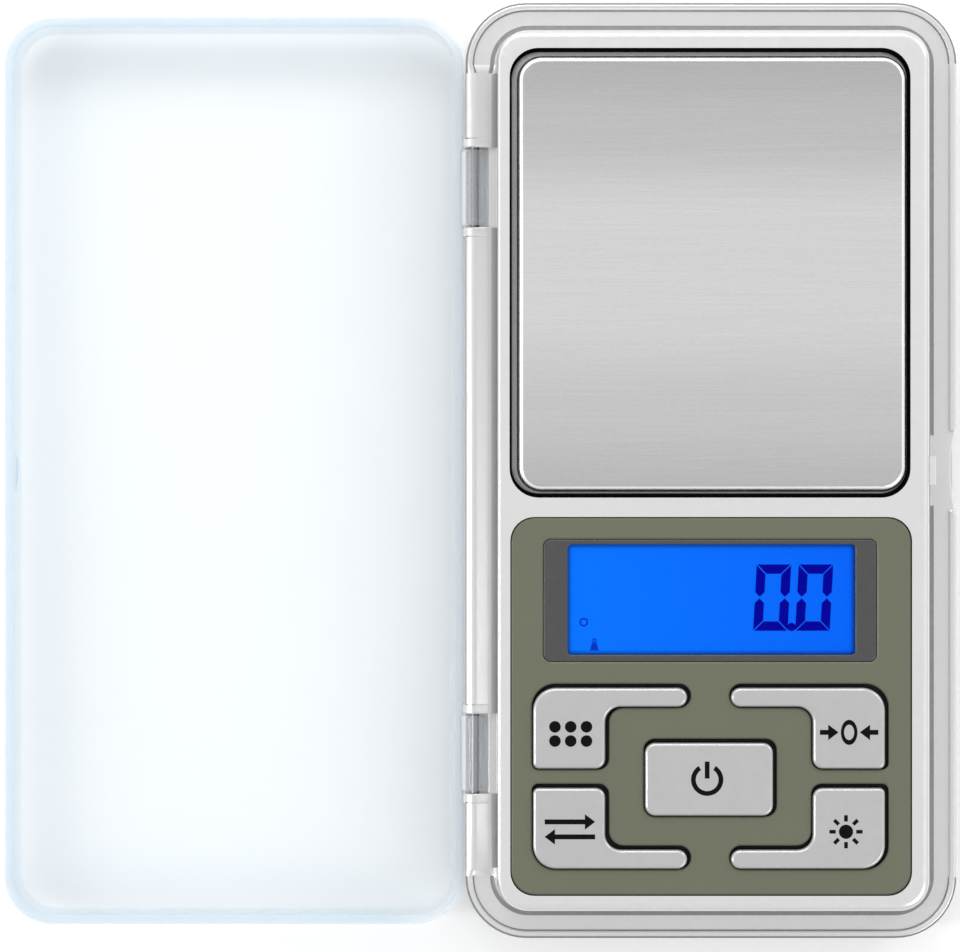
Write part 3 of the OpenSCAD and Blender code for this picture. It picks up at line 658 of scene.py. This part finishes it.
def cut_profile(cut):
    """Plain edge of the shelf where the lip is missing."""
    edge = [(cut + d, SHELF_Z - drop) for d, drop in quarter(0.2, 5)]
    return edge + [(cut + 0.3 + (1.05 - cut) * k / 9, SHELF_Z) for k in range(9)]


def rail_profile(r, knuckle):
    """Round hinge rail, bulging past the wall where it is a knuckle."""
    inset_x = HINGE_X - BODY[0]
    lean = degrees(acos(inset_x / r))
    return [(inset_x - x, z) for x, z in arc(0, HINGE_Z, r, -lean if knuckle else lean, RAIL_END, 14)]


def slot_profile():
    """Wall of the case behind a lug of the lid."""
    near = GROOVE_X0 - BODY[0]
    return [(near, PARTING_Z + 0.2 + 1.7 * k / 15) for k in range(15)]


def groove_profile(slot):
    """Shelf that curves down from the rail to the foot of the deck."""
    near, far = GROOVE_X0 - BODY[0], DECK[0] - BODY[0]
    if slot:
        return [(near, GROOVE_Z - 0.2), (near, GROOVE_Z - 0.1), (near + 0.02, GROOVE_Z - 0.04),
                (near + 0.1, GROOVE_Z), (far - 0.15, GROOVE_Z), (far - 0.04, GROOVE_Z + 0.04)]
    return [(near + (far - near) * k / 5, SHELF_Z - GROOVE_DROP * (k / 5) ** 2) for k in range(6)]


def foot_profile(ramp):
    """Hollow fillet from the shelf up to the deck's wall, or up to the ramp that stands off it."""
    out, r = (RAMP_OUT, RAMP_FOOT_R) if ramp else (0.0, DECK_FOOT_R)
    angles = [radians(90 * k / 5) for k in range(6)]
    return [(-out - r + r * sin(a), SHELF_Z + r - r * cos(a)) for a in angles]


def wall_profile(ramp, catch):
    """Deck wall, with the ramp at its foot and the catch near its top where they stand."""
    low = [(-RAMP_OUT, 12.75), (-0.42, 12.93), (-0.25, 13.0)] if ramp else [(0, 12.7), (0, 12.85), (0, 12.95)]
    high = [(-0.55, 13.6), (-CATCH_OUT, 13.78), (-CATCH_OUT, 15.5)] if catch else \
        [(0, 13.7), (0, 13.8), (0, 14.6)]
    return low + [(0, 13.02), (0, 13.6)] + high


def edge_profile(catch):
    """Rounded edge of the deck, as shares of its quarter round, which the catch covers at first."""
    shares = [("edge", k / 8, None) for k in range(9)]
    over = [("deck", -0.66, 15.8), ("deck", -0.5, 15.95), ("deck", 0.1, 16.0)]
    return over + shares[3:] if catch else shares


def case_profile(kind, y=0.0, rail_r=RAIL_R):
    """The whole section of the top case's side at one station, from inside to the deck's top."""
    left, ramp, catch = kind in HINGE_SIDE, kind in STEPPED, kind == "catch"
    cut = notch_cut(y) if ramp or kind in ("notch", "gap") else 0.0
    inner = HINGE_WALL if left and kind != "rail" else WALL
    base = [(cut + 0.12, PARTING_Z), (cut, PARTING_Z + 0.12)]
    if kind == "slot":
        rim = slot_profile()
        base = [(rim[0][0], PARTING_Z), (rim[0][0], PARTING_Z + 0.1)]
    elif left:
        rim = rail_profile(rail_r, kind == "knuckle")
    elif ramp or kind == "gap":
        rim = cut_profile(cut)
    else:
        rim = lip_profile(cut)
    by_body = [(inner, INSIDE_Z), (inner, PARTING_Z)] + base + rim
    by_deck = wall_profile(ramp, catch)
    if left:
        by_body += groove_profile(kind == "slot")
    else:
        by_deck = foot_profile(ramp) + by_deck
    section = [("deck", DECK_WALL, UNDER_Z), ("deck", DECK_WALL, INSIDE_Z)]
    section += [("body", d, z) for d, z in by_body] + [("deck", d, z) for d, z in by_deck]
    return section + edge_profile(catch)


def hinge_stations():
    """(y, kind, rail radius) up the hinge side."""
    soft = RAIL_R - KNUCKLE_SOFT
    half = [(-BLOCK_HALF, "rail", RAIL_R), (-BLOCK_HALF, "block", RAIL_R), (-KNUCKLE_HALF, "block", RAIL_R),
            (-KNUCKLE_HALF + 0.02, "knuckle", soft), (-KNUCKLE_HALF + 0.14, "knuckle", RAIL_R),
            (-SLOT_HALF - 0.14, "knuckle", RAIL_R), (-SLOT_HALF, "knuckle", soft), (-SLOT_HALF, "slot", 0)]
    stations = [(-RAIL_HALF, "lip", 0), (-RAIL_HALF + 1.0, "rail", RAIL_R)]
    for centre in (-SLOT_Y, SLOT_Y):
        stations += [(centre + y, kind, r) for y, kind, r in half]
        stations += [(centre - y, kind, r) for y, kind, r in reversed(half)]
    return stations + [(RAIL_HALF - 1.0, "rail", RAIL_R), (RAIL_HALF, "lip", 0)]


def notch_stations():
    """(y, kind) up the side with the finger notch and the catch."""
    half = [(-NOTCH_HALF, "notch"), (-5.5, "notch"), (-GAP_HALF - 0.25, "notch"), (-GAP_HALF, "gap"),
            (-RAMP_HALF, "gap"), (-RAMP_HALF, "ramp"), (-3.8, "ramp"), (-3.0, "ramp"), (-2.3, "ramp"),
            (-CATCH_HALF, "ramp"), (-CATCH_HALF, "catch"), (-1.2, "catch"), (-0.6, "catch")]
    return half + [(0.0, "catch")] + [(-y, kind) for y, kind in reversed(half)]


# Bands of the section given the darker silver as painted shade, at the silhouette and where two walls meet
SHADE_BANDS = {"lip": {6, 7, 8, 9, 17, 18, 19, 21, 22, 35, 36, 37}, "notch": {21, 22, 35, 36, 37},
           "gap": {21, 22, 35, 36, 37}, "rail": {6, 26}, "block": {6, 26},
           "knuckle": {9, 10, 26}, "slot": {26}, "ramp": {35, 36, 37}, "catch": set()}
PAINTED, UNPAINTED_AND_SHADE, SHADE_PAINTED = 0, 1, 2


def case_rings(bm, left, right):
    """Vertices of the swept side, one ring for each point of the section, and what each station is."""
    left_y, right_y = [s[0] for s in left], [s[0] for s in right]
    half_turn = 2 * (CORNER_STEPS + 1)
    profiles = [case_profile("lip")] * half_turn
    kinds = ["lip"] * (half_turn - 1) + ["notch"]
    profiles += [case_profile(kind, y) for y, kind in right]
    kinds += [kind for _, kind in right]
    profiles += [case_profile("lip")] * half_turn
    kinds += ["lip"] * half_turn
    profiles += [case_profile(kind, y, r) for y, kind, r in reversed(left)]
    kinds += [kind for _, kind, _ in reversed(left)]
    outlines = {}

    def place(family, value, station):
        key = (family, round(value, 4))
        if key not in outlines:
            if family == "edge":
                share = 1 - cos(radians(90 * value))
                e, e_left = DECK_EDGE * share, DECK_EDGE_LEFT * share
                bounds = [DECK[0] + e_left, DECK[1] + e, DECK[2] - e, DECK[3] - e]
                r = DECK_R - e
            else:
                bounds, r = (BODY, BODY_R) if family == "body" else (DECK, DECK_R)
                bounds, r = inset(bounds, value), r - value
            outlines[key] = rounded(bounds, r, CORNER_STEPS, left_y, right_y)
        return outlines[key][station]

    def edge_height(share, station):
        on_left = place("edge", 0.0, station)[0] < DECK[0] + 0.01
        return DECK_Z - (DECK_EDGE_LEFT if on_left else DECK_EDGE) * (1 - sin(radians(90 * share)))

    rings = []
    for points in zip(*profiles):
        rings.append(vertices(bm, [
            (*place(family, value, station), edge_height(value, station) if family == "edge" else z)
            for station, (family, value, z) in enumerate(points)]))
    return rings, kinds


def opening(bm, outline_at, edge, z_low):
    """Hole in the deck whose edge slopes back under it. Returns its top and its low ring."""
    rings = [ring(bm, outline_at(edge - d), DECK_Z - drop) for d, drop in chamfer(edge)]
    bands(bm, rings)
    low = ring(bm, outline_at(0), z_low)
    # The wall below the chamfer is near-black, as painted shade down the gap
    band(bm, low, rings[0], UNPAINTED_AND_SHADE)
    return rings[-1], low


def top_case():
    bm = bmesh.new()
    rings, kinds = case_rings(bm, hinge_stations(), notch_stations())
    # The listed bands of each station get the darker silver as painted shade
    for k, (low, high) in enumerate(zip(rings, rings[1:])):
        band(bm, low, high, [SHADE_PAINTED if k in SHADE_BANDS[kind] else PAINTED for kind in kinds])
    # window for the pan, with its tray and walls in near-black plastic as painted shade
    recess_top, recess_low = opening(bm, growing(RECESS, RECESS_R, 12), 0.4, TRAY_Z + TRAY_FILLET)
    tray_edge = ring(bm, growing(RECESS, RECESS_R, 12)(-TRAY_FILLET), TRAY_Z)
    band(bm, tray_edge, recess_low, UNPAINTED_AND_SHADE)
    hole_low, hole_high = upright(bm, rounded(CARRIER_HOLE, 0.5, 4), UNDER_Z, TRAY_Z, UNPAINTED_AND_SHADE)
    fill(bm, [tray_edge, hole_high], UNPAINTED_AND_SHADE)
    # seat of the faceplate, with the pocket of the lens and the holes of the keys, their walls near-black as
    # painted shade
    seat_top, seat_low = opening(bm, growing(inset(FACE, -FACE_GAP), FACE_R + FACE_GAP, 8), 0.2, SEAT_Z)
    fill(bm, [rings[-1], recess_top, seat_top])
    pocket_low, pocket = upright(bm, rounded(inset(LENS, -LENS_GAP), POCKET_R, 6), POCKET_Z, SEAT_Z, UNPAINTED_AND_SHADE)
    view_low, view_high = upright(bm, rounded(VIEW, 0.3, 3), PLATE_Z, POCKET_Z, UNPAINTED_AND_SHADE)
    fill(bm, [pocket_low, view_high], UNPAINTED_AND_SHADE)
    holes = [upright(bm, key_outline(name, KEY_GAP), PLATE_Z, SEAT_Z, UNPAINTED_AND_SHADE) for name in KEYS]
    fill(bm, [seat_low, pocket] + [high for _, high in holes], UNPAINTED_AND_SHADE)
    # underside: the panel's hollow goes up to its plate, the rest stops at the tray
    hollow_low, hollow_high = upright(bm, rounded(PANEL_HOLLOW, 2.4, 6), UNDER_Z, PLATE_Z, UNPAINTED_AND_SHADE)
    fill(bm, [rings[0], hole_low, hollow_low], UNPAINTED_AND_SHADE)
    fill(bm, [hollow_high, view_low] + [low for low, _ in holes], UNPAINTED_AND_SHADE)
    finish_mesh(bm, "top_case_shell", "case", [SILVER, DARK_PLASTIC_AND_SHADE, SHADED_SILVER], ["top_case"])


# ---- faceplate, display and keys

WINDOW = centred((29.5, -16.4), (36.5, 14.0))
WINDOW_R = 0.5


def faceplate():
    bm = bmesh.new()
    holes = [growing(inset(LENS, -LENS_GAP), POCKET_R, 6)]
    holes += [lambda g, name=name: key_outline(name, KEY_GAP + g) for name in KEYS]
    plate(bm, growing(inset(FACE, 0.06), FACE_R, 8), SEAT_Z + 0.01, DECK_Z - 0.03, chamfer(0.2), holes)
    finish_mesh(bm, "faceplate_panel", "case", OLIVE, ["faceplate"])


def display():
    lens_z = box_mm("display_lens")[0][2]
    bm = bmesh.new()
    plate(bm, growing(LENS, 0.95, 6), lens_z, DECK_Z - 0.05, quarter(0.15, 3), [growing(WINDOW, WINDOW_R, 4)])
    finish_mesh(bm, "display_mask", "case", MASK, ["display_lens"])
    bm = bmesh.new()
    plate(bm, growing(inset(WINDOW, 0.01), WINDOW_R, 4), lens_z, DECK_Z - 0.12, quarter(0.08, 3))
    finish_mesh(bm, "display_window", "case", clear_cover(), ())
    bm = bmesh.new()
    low, high = box_mm("lcd_glass")
    plate(bm, growing(plan_mm("lcd_glass"), 0.4, 3), low[2], high[2], quarter(0.1, 3))
    finish_mesh(bm, "lcd_panel", "case", lcd_glow(WINDOW), ["lcd_glass"])


# Digits and marks on the display
DIGIT_H, DIGIT_W, STROKE = 8.45, 4.4, 1.2
DIGIT_X = (34.85, 40.2)
DIGIT_Y = -20.4
POINT = (39.75, DIGIT_Y + 0.5)
SLANT = 0.055
SEGMENT_GAP = 0.09
STABLE_MARK = (13.3, -19.3)
WEIGHT_MARK = (14.65, -22.9)
LCD_INK_Z = (15.17, 15.21)


def zero_segments():
    """The six lit strokes of a seven-segment 0, upright, from its low left corner."""
    w, h, s, g = DIGIT_W, DIGIT_H, STROKE, SEGMENT_GAP
    mid = h / 2
    top = [(g, h), (w - g, h), (w - s - g, h - s), (s + g, h - s)]
    upper = [(0, h - g), (s, h - s - g), (s, mid + s / 2 + g), (s / 2, mid + g), (0, mid + s / 2 + g)]
    left = [upper, [(x, h - y) for x, y in upper]]
    right = [[(w - x, y) for x, y in part] for part in left]
    return [top, [(x, h - y) for x, y in top]] + left + right


def lcd_digits():
    """Two zeros with a point, and two small marks: a ring for stable, a little weight for the unit."""
    bm = bmesh.new()
    for x0 in DIGIT_X:
        for part in zero_segments():
            prism(bm, [(x0 + x + SLANT * y, DIGIT_Y + y) for x, y in part], *LCD_INK_Z)
    prism(bm, circle(*POINT, 0.55, 12), *LCD_INK_Z)
    digits = set(bm.faces)
    hollow_prism(bm, [circle(*STABLE_MARK, r, 28) for r in (0.56, 0.34)], *LCD_INK_Z)
    x, y = WEIGHT_MARK
    prism(bm, [(x - 0.55, y), (x + 0.55, y), (x + 0.3, y + 0.95), (x - 0.3, y + 0.95)], *LCD_INK_Z)
    hollow_prism(bm, [circle(x, y + 1.25, r, 28) for r in (0.3, 0.14)], *LCD_INK_Z)
    for face in bm.faces:
        face.material_index = 0 if face in digits else 1
    inks = [lcd_ink("lcd_segment", (0.0, 0.0, 0.37), (0.0, 0.0, 0.30)),
            lcd_ink("lcd_mark", (0.0, 0.045, 0.62), (0.0, 0.04, 0.55))]
    finish_mesh(bm, "lcd_digits", "case", inks, (), weighted=False)


def rolled_key(name):
    """A key: flange under the plate, upright sides, and a painted top with a rounded edge."""
    outlines = [(key_outline(name, KEY_FLANGE), KEY_FOOT), (key_outline(name, KEY_FLANGE), PLATE_Z),
                (key_outline(name, 0.02, KEY_TRIM), PLATE_Z), (key_outline(name, 0, KEY_TRIM), PLATE_Z + 0.1),
                (key_outline(name, 0, KEY_TRIM), DECK_Z - 0.1)]
    # The flange and the sides below the plate are near-black, as painted shade in the gap round the key
    bare = len(outlines) - 1
    outlines += [(key_outline(name, -d, KEY_TRIM), KEY_TOP - 0.02 - drop) for d, drop in quarter(0.42, 6)]
    bm = bmesh.new()
    rings = [ring(bm, outline, z) for outline, z in outlines]
    bands(bm, rings[:bare + 1], 1)
    bands(bm, rings[bare:])
    fill(bm, [rings[0]], 1)
    fill(bm, [rings[-1]])
    finish_mesh(bm, f"key_{name}_cap", f"{name}_button", [KEY_SILVER, DARK_PLASTIC_AND_SHADE], [f"key_{name}"])


LEGEND_Z = (KEY_TOP - 0.03, KEY_TOP - 0.002)
ARROW_W, ARROW_HEAD = 0.62, 1.3


def bar(bm, a, b, width):
    """Straight stroke with square ends."""
    dx, dy = b[0] - a[0], b[1] - a[1]
    length = hypot(dx, dy)
    nx, ny = -dy / length * width / 2, dx / length * width / 2
    outline = [(a[0] - nx, a[1] - ny), (b[0] - nx, b[1] - ny), (b[0] + nx, b[1] + ny), (a[0] + nx, a[1] + ny)]
    prism(bm, outline, *LEGEND_Z)


def arrow(bm, tail, tip, y):
    """Arrow along X as one outline."""
    way = 1 if tip > tail else -1
    neck = tip - way * ARROW_HEAD
    half, barb = ARROW_W / 2, ARROW_HEAD * 0.75
    outline = [(tail, y - half), (neck, y - half), (neck, y - barb), (tip, y), (neck, y + barb),
               (neck, y + half), (tail, y + half)]
    prism(bm, outline[::way], *LEGEND_Z)


def legend_count(bm, x, y):
    """A stack of pieces: six round dots in two rows."""
    for i in (-1, 0, 1):
        for j in (-1, 1):
            prism(bm, circle(x + 2.0 * i, y + 0.9 * j, 0.74, 18), *LEGEND_Z)


def legend_units(bm, x, y):
    """Two opposite arrows, for changing the unit."""
    for way in (1, -1):
        arrow(bm, x - 3.2 * way, x + 3.2 * way, y + 0.95 * way)


def legend_tare(bm, x, y):
    """Arrows from both sides to a zero."""
    for way in (-1, 1):
        arrow(bm, x + 3.7 * way, x + 1.35 * way, y)
    zero = [[(x + 0.66 * dx, y + dy) for dx, dy in circle(0, 0, r, 24)] for r in (1.6, 0.98)]
    hollow_prism(bm, zero, *LEGEND_Z)


def legend_light(bm, x, y):
    """A sun with eight rays."""
    prism(bm, circle(x, y, 0.9, 24), *LEGEND_Z)
    for inner, outer in zip(circle(x, y, 1.3, 8), circle(x, y, 2.1, 8)):
        bar(bm, inner, outer, 0.46)


def legend_power(bm, x, y):
    """A broken ring with a bar through its gap."""
    prism(bm, arc(x, y, 2.05, 122, 418, 28) + arc(x, y, 1.45, 418, 122, 28), *LEGEND_Z)
    bar(bm, (x, y + 0.15), (x, y + 2.3), 0.6)


LEGENDS = {"count": (legend_count, 11.6, -33.4), "units": (legend_units, 11.5, -45.5),
           "tare": (legend_tare, 46.9, -33.2), "light": (legend_light, 46.5, -45.8),
           "power": (legend_power, 28.9, -39.2)}


def legends():
    for name, (draw, x, y) in LEGENDS.items():
        bm = bmesh.new()
        draw(bm, x, y)
        finish_mesh(bm, f"legend_{name}", f"{name}_button", INK, (), weighted=False)


# ---- pan

SHEET = 0.5


def weighing_pan():
    """Pressed sheet: flat top with rolled edges, sides, and a hem turned out at the bottom."""
    low, high = box_mm("weighing_pan")
    foot, top = low[2], high[2]
    hem_z, inside_z = foot + SHEET, top - SHEET
    roll, inner_roll = 0.75, 0.5
    walls = [PAN[0] + HEM[0], PAN[1] + HEM[1], PAN[2] - HEM[2], PAN[3] - HEM[3]]

    def at(d):
        return rounded(inset(walls, d), PAN_R - d, 14)

    def hem_at(share, back=0.0):
        """Outline at this share of the way out over the hem, drawn back from there."""
        out = [share * width for width in HEM]
        bounds = [walls[0] - out[0], walls[1] - out[1], walls[2] + out[2], walls[3] + out[3]]
        return rounded(inset(bounds, back), PAN_R + share * (HEM_R - PAN_R) - back, 14)

    under = [(at(SHEET + inner_roll + 0.2), inside_z)]
    under += [(at(SHEET + d), inside_z - drop) for d, drop in reversed(quarter(inner_roll, 5))]
    under += [(at(SHEET), foot + 0.1), (at(SHEET - 0.1), foot), (hem_at(1, 0.12), foot),
              (hem_at(1, 0.04), foot + 0.05), (hem_at(1), foot + 0.14), (hem_at(1), hem_z - 0.12),
              (hem_at(1, 0.03), hem_z - 0.03), (hem_at(1, 0.1), hem_z)]
    crease = [(hem_at(0, -0.16), hem_z), (at(-0.02), hem_z + 0.02), (at(0), hem_z + 0.1)]
    rolled = [(at(d), top - drop) for d, drop in quarter(roll, 10)]
    # Bands: a black band beside the wall is painted shade, the hem steel is darkened as painted shade, and
    # the rolled edge is lightened as a painted highlight
    brushed, dark, hem, bright = range(4)
    kinds = [hem] * len(under) + [dark, dark] + [bright] * (len(rolled) - 2) + [brushed, brushed]
    bm = bmesh.new()
    rings = [ring(bm, outline, z) for outline, z in under + crease + rolled]
    for low_ring, high_ring, kind in zip(rings, rings[1:], kinds):
        band(bm, low_ring, high_ring, kind)
    fill(bm, [rings[0]])
    fill(bm, [rings[-1]])
    looks = [brushed_steel(), DARK_PLASTIC_AND_SHADE, HEM_SHADE_STEEL, ROLLED_HIGHLIGHT_STEEL]
    finish_mesh(bm, "weighing_pan_sheet", "pan", looks, ["weighing_pan"])


# ---- load cell

FLEXURES = (20.5, 30.5)
BORE_R, SLOT_HALF_Z = 2.3, 0.6
SCREWS_Y = (6.2, 10.8, 38.6, 43.4)
SCREW_HOLE_R = 1.22


def bend(piece):
    """Bakes the piece's placement into its mesh."""
    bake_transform(piece)


def load_cell():
    """Beam with two bores joined by a slot, drawn in section across X, and holes for its screws."""
    low, high = box_mm("load_cell")
    z_mid = (low[2] + high[2]) / 2
    soft, steps = 0.12, 26
    along = [low[1] + (high[1] - low[1]) * k / steps for k in range(1, steps)]
    turn = degrees(asin(SLOT_HALF_Z / BORE_R))
    window = arc(FLEXURES[0], z_mid, BORE_R, turn, 360 - turn, 30)
    window += arc(FLEXURES[1], z_mid, BORE_R, turn - 180, 180 - turn, 30)

    def section(x, d):
        row = [low[1] + d] + along + [high[1] - d]
        return [(x, y, low[2] + d) for y in row] + [(x, y, high[2] - d) for y in reversed(row)]

    bm = bmesh.new()
    levels = [(low[0] + drop, d) for d, drop in reversed(quarter(soft, 3))]
    levels += [(high[0] - drop, d) for d, drop in quarter(soft, 3)]
    outer = [vertices(bm, section(x, d)) for x, d in levels]
    inner = [vertices(bm, [(x, y, z) for y, z in window]) for x in (low[0], high[0])]
    bands(bm, outer)
    bands(bm, inner)
    for end in (0, -1):
        fill(bm, [outer[end], inner[end]], axes=(1, 2))
    beam = finish_mesh(bm, "load_cell_beam", None, ALUMINIUM, ["load_cell"], weighted=False)
    bm = bmesh.new()
    for y in SCREWS_Y:
        prism(bm, circle(CELL_X, y, SCREW_HOLE_R, 24), low[2] - 1, high[2] + 1)
    combine(beam, [loose_solid(bm, "drill_tool")], "DIFFERENCE")
    beam.data.set_sharp_from_angle(angle=SHARP_ANGLE)
    bend(beam)


def strain_gauges():
    """Four foil gauges over the bores: each a film with a folded grid and two solder tabs."""
    low, high = box_mm("strain_gauges")
    film_t, foil_t = 0.09, 0.03
    foil_low = (high[2] - foil_t, low[2])
    film_low = (high[2] - foil_t - film_t, low[2] + foil_t)
    bm = bmesh.new()
    for foil_z, film_z in zip(foil_low, film_low):
        for y in FLEXURES:
            film = growing(centred((CELL_X, y), (5.0, 3.0)), 0.3, 3)
            plate(bm, film, film_z, film_z + film_t, quarter(0.02, 3))
            lines = [centred((CELL_X - 0.9 + 0.3 * k, y + 0.35), (0.16, 1.9)) for k in range(7)]
            tabs = [centred((CELL_X + 1.5 * way, y - 0.9), (1.1, 0.7)) for way in (-1, 1)]
            for bounds in lines + tabs:
                prism(bm, corners(bounds), foil_z, foil_z + foil_t)
    bend(finish_mesh(bm, "strain_gauge_foils", None, FOIL, ["strain_gauges"], weighted=False))


# ---- lid

LID_R, LID_RIM = 6.3, 8.8
LID_WALL, LID_FLOOR = 1.2, 1.3
LID_EDGE_R, LID_INNER_R = 1.0, 0.8
WEB_X = HINGE_X - 1.45


def lid():
    """Clear tray lying upside down beside the body, with two hinge lugs and a snap bead."""
    low, high = box_mm("lid")
    grown = growing([low[0], low[1], WEB_X, high[1]], LID_R, 14)
    inside = LID_WALL + 0.04
    steps = [(d, drop) for d, drop in reversed(quarter(LID_EDGE_R, 8))]
    steps += [(0, 6.0), (0, LID_RIM - 0.25), (0.07, LID_RIM - 0.07), (0.25, LID_RIM)]
    steps += [(LID_WALL - 0.3, LID_RIM), (LID_WALL - 0.1, LID_RIM - 0.07), (LID_WALL - 0.02, LID_RIM - 0.25)]
    steps += [(LID_WALL, 6.0), (inside, LID_FLOOR + LID_INNER_R)]
    steps += [(inside + d, LID_FLOOR + drop) for d, drop in quarter(LID_INNER_R, 6)]
    bm = bmesh.new()
    rings = [ring(bm, grown(-d), z) for d, z in steps]
    bands(bm, rings)
    fill(bm, [rings[0]])
    fill(bm, [rings[-1]])
    looks = [clear_plastic("clear_plastic", (0.80, 0.82, 0.84), (0.47, 0.60, 0.71), (0.06, 0.30), 0.36),
             clear_plastic("clear_plastic_lug", (0.86, 0.88, 0.90), (0.86, 0.88, 0.90), (0.11, 0.11), 0.9)]
    shell = finish_mesh(bm, "lid_shell", "lid", looks, ["lid"])
    combine(shell, [lid_lug(-SLOT_Y), lid_lug(SLOT_Y), lid_bead(low[0] + LID_WALL)], "UNION")
    shade_smooth(shell.data)
    weigh_normals(shell)


def lid_lug(y):
    """Hinge eye on a web, drawn in section across Y, with rounded ends and a bore for the pin."""
    r, bore, half, soft = 1.4, 0.65, 4.8, 0.15

    def section(g):
        web = [(WEB_X - 0.3, 8.85 - g), (WEB_X - 0.6, 8.6 - g), (WEB_X - 0.6, 8.1 + g), (WEB_X, 8.1 + g)]
        return arc(HINGE_X, HINGE_Z, r - g, -72, 180, 28) + web

    bm = bmesh.new()
    ends = [(d, half - drop) for d, drop in quarter(soft, 3)]
    rows = [vertices(bm, [(x, y + way * along, z) for x, z in section(g)])
            for way, levels in ((-1, ends[::-1]), (1, ends)) for g, along in levels]
    bores = [vertices(bm, [(x, y + way * half, z) for x, z in circle(HINGE_X, HINGE_Z, bore, 24)])
             for way in (-1, 1)]
    bands(bm, rows)
    bands(bm, bores)
    for end in (0, -1):
        fill(bm, [rows[end], bores[end]], axes=(0, 2))
    for face in bm.faces:
        face.material_index = 1
    return loose_solid(bm, "lug_tool")


def lid_bead(x):
    """Rounded bead inside the far wall of the lid, which snaps under the catch."""
    half, out, root = 2.5, 0.45, 0.3
    z_mid, z_half = 7.4, 0.6
    bm = bmesh.new()
    rows = []
    for k in range(9):
        along = sin(radians(-90 + 22.5 * k))
        swell = out * sqrt(max(0.05, 1 - 0.9 * along ** 2))
        section = [(x - root, z_mid - z_half), (x, z_mid - z_half)]
        section += [(x + swell * dx, z_mid + z_half * dz) for dx, dz in arc(0, 0, 1, -80, 80, 8)]
        section += [(x, z_mid + z_half), (x - root, z_mid + z_half)]
        rows.append(vertices(bm, [(px, half * along, pz) for px, pz in section]))
    bands(bm, rows)
    for end in (0, -1):
        fill(bm, [rows[end]], axes=(0, 2))
    return loose_solid(bm, "bead_tool")


# ---- carried-over CAD nodes

def dress_nodes():
    """Gives each carried-over CAD node its material."""
    looks = [
        (SILVER, ["bottom_case", "battery_door"]),
        (STEEL, ["case_screws", "pcb_screws", "load_cell_screws", "pan_carrier_screws",
                 "overload_stop_screw"]),
        (PIN_STEEL, ["hinge_pin_upper", "hinge_pin_lower"]),
        (RUBBER, [f"foot_{k}" for k in range(1, 5)]),
        (circuit_board(), ["main_pcb"]),
        (BLACK_PART, ["pcb_components", "tact_switches"] + [f"plunger_{key}" for key in KEYS]),
        (WHITE_PLASTIC, ["pan_carrier"]),
        (PAD, ["pan_adhesive_pads"]),
        (BACKLIGHT, ["lcd_backlight"]),
        (PINK_RUBBER, ["zebra_connector"]),
        (NICKEL, ["battery_spring_contact", "battery_plate_contact", "battery_bridge_contact"]),
    ]
    looks += [(WIRES[colour], [f"gauge_wire_{colour}"]) for colour in WIRES]
    looks += [(WIRES[colour], [f"battery_lead_{colour}"]) for colour in ("red", "black")]
    for name, way in (("battery_cell_1", 1), ("battery_cell_2", -1)):
        ends = [corner[0] for corner in box_mm(name)]
        looks.append((cell_jacket(*ends[::way]), [name]))
    for material, names in looks:
        for name in names:
            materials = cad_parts[name].data.materials
            materials.clear()
            materials.append(material)


# ---- stage, light and camera

def stage():
    bm = bmesh.new()
    bmesh.ops.create_grid(bm, x_segments=8, y_segments=8, size=1.5)
    floor = as_object(bm, "floor")
    floor.location.z = -0.2 * MM
    material, tree = new_material("floor_paper")
    grain = noise(tree, in_mm(tree), 0.02)
    set_shader(tree, Base_Color=mix_colour(tree, grain, (0.79, 0.79, 0.79), (0.81, 0.81, 0.81)),
               Roughness=0.9, Specular_IOR_Level=0.0)
    floor.data.materials.append(material)


def world_light():
    """A tent of light: softer overhead and at the horizon, brighter at the back and on the hinge side."""
    world = bpy.data.worlds.new("tent")
    bpy.context.scene.world = world
    world.use_nodes = True
    tree = world.node_tree
    axes = place_axes(tree, "Generated")
    levels = [(0.0, 0.80), (0.14, 0.62), (0.3, 1.12), (0.6, 1.12), (0.84, 0.88), (1.0, 0.77)]
    background = tree.nodes["Background"].inputs
    feed(tree, background["Color"], colour_ramp(tree, axes["Z"], [(z, (v, v, v)) for z, v in levels]))
    across = remap(tree, axes["X"], 1.10, 0.92, -0.6, 0.6)
    back = remap(tree, axes["Y"], 0.72, 1.12, -0.7, 0.4)
    feed(tree, background["Strength"], product(tree, across, back))


def soft_box(name, at, size, power):
    light = bpy.data.lights.new(name, "AREA")
    light.shape = "RECTANGLE"
    light.size, light.size_y = size
    light.energy = power
    lamp = link(bpy.data.objects.new(name, light))
    lamp.location = at
    lamp.rotation_euler = (Vector((0.03, 0, 0)) - Vector(at)).to_track_quat("-Z", "Y").to_euler()


def camera():
    """Straight down over the middle of the opened scale."""
    distance, width, sensor = 0.480, 0.1235, 36.0
    data = bpy.data.cameras.new("camera")
    data.sensor_width = sensor
    data.lens = sensor * distance / width
    data.clip_start, data.clip_end = 0.01, 10
    made = link(bpy.data.objects.new("camera", data))
    made.location = (0.0001, -0.0007, 0.010 + distance)
    bpy.context.scene.camera = made


camera()
stage()
world_light()
soft_box("side_light", (-0.65, -0.10, 0.50), (0.12, 0.50), 2.0)
soft_box("back_light", (-0.05, 0.42, 0.42), (0.40, 0.20), 1.2)
soft_box("rim_light", (0.70, 0.45, 0.45), (0.30, 0.30), 1.4)
soft_box("fill_light", (0.45, -0.40, 0.50), (0.40, 0.40), 1.4)
dress_nodes()
top_case()
faceplate()
display()
lcd_digits()
for key in KEYS:
    rolled_key(key)
legends()
weighing_pan()
load_cell()
strain_gauges()
lid()
bpy.context.scene.view_settings.view_transform = "Standard"
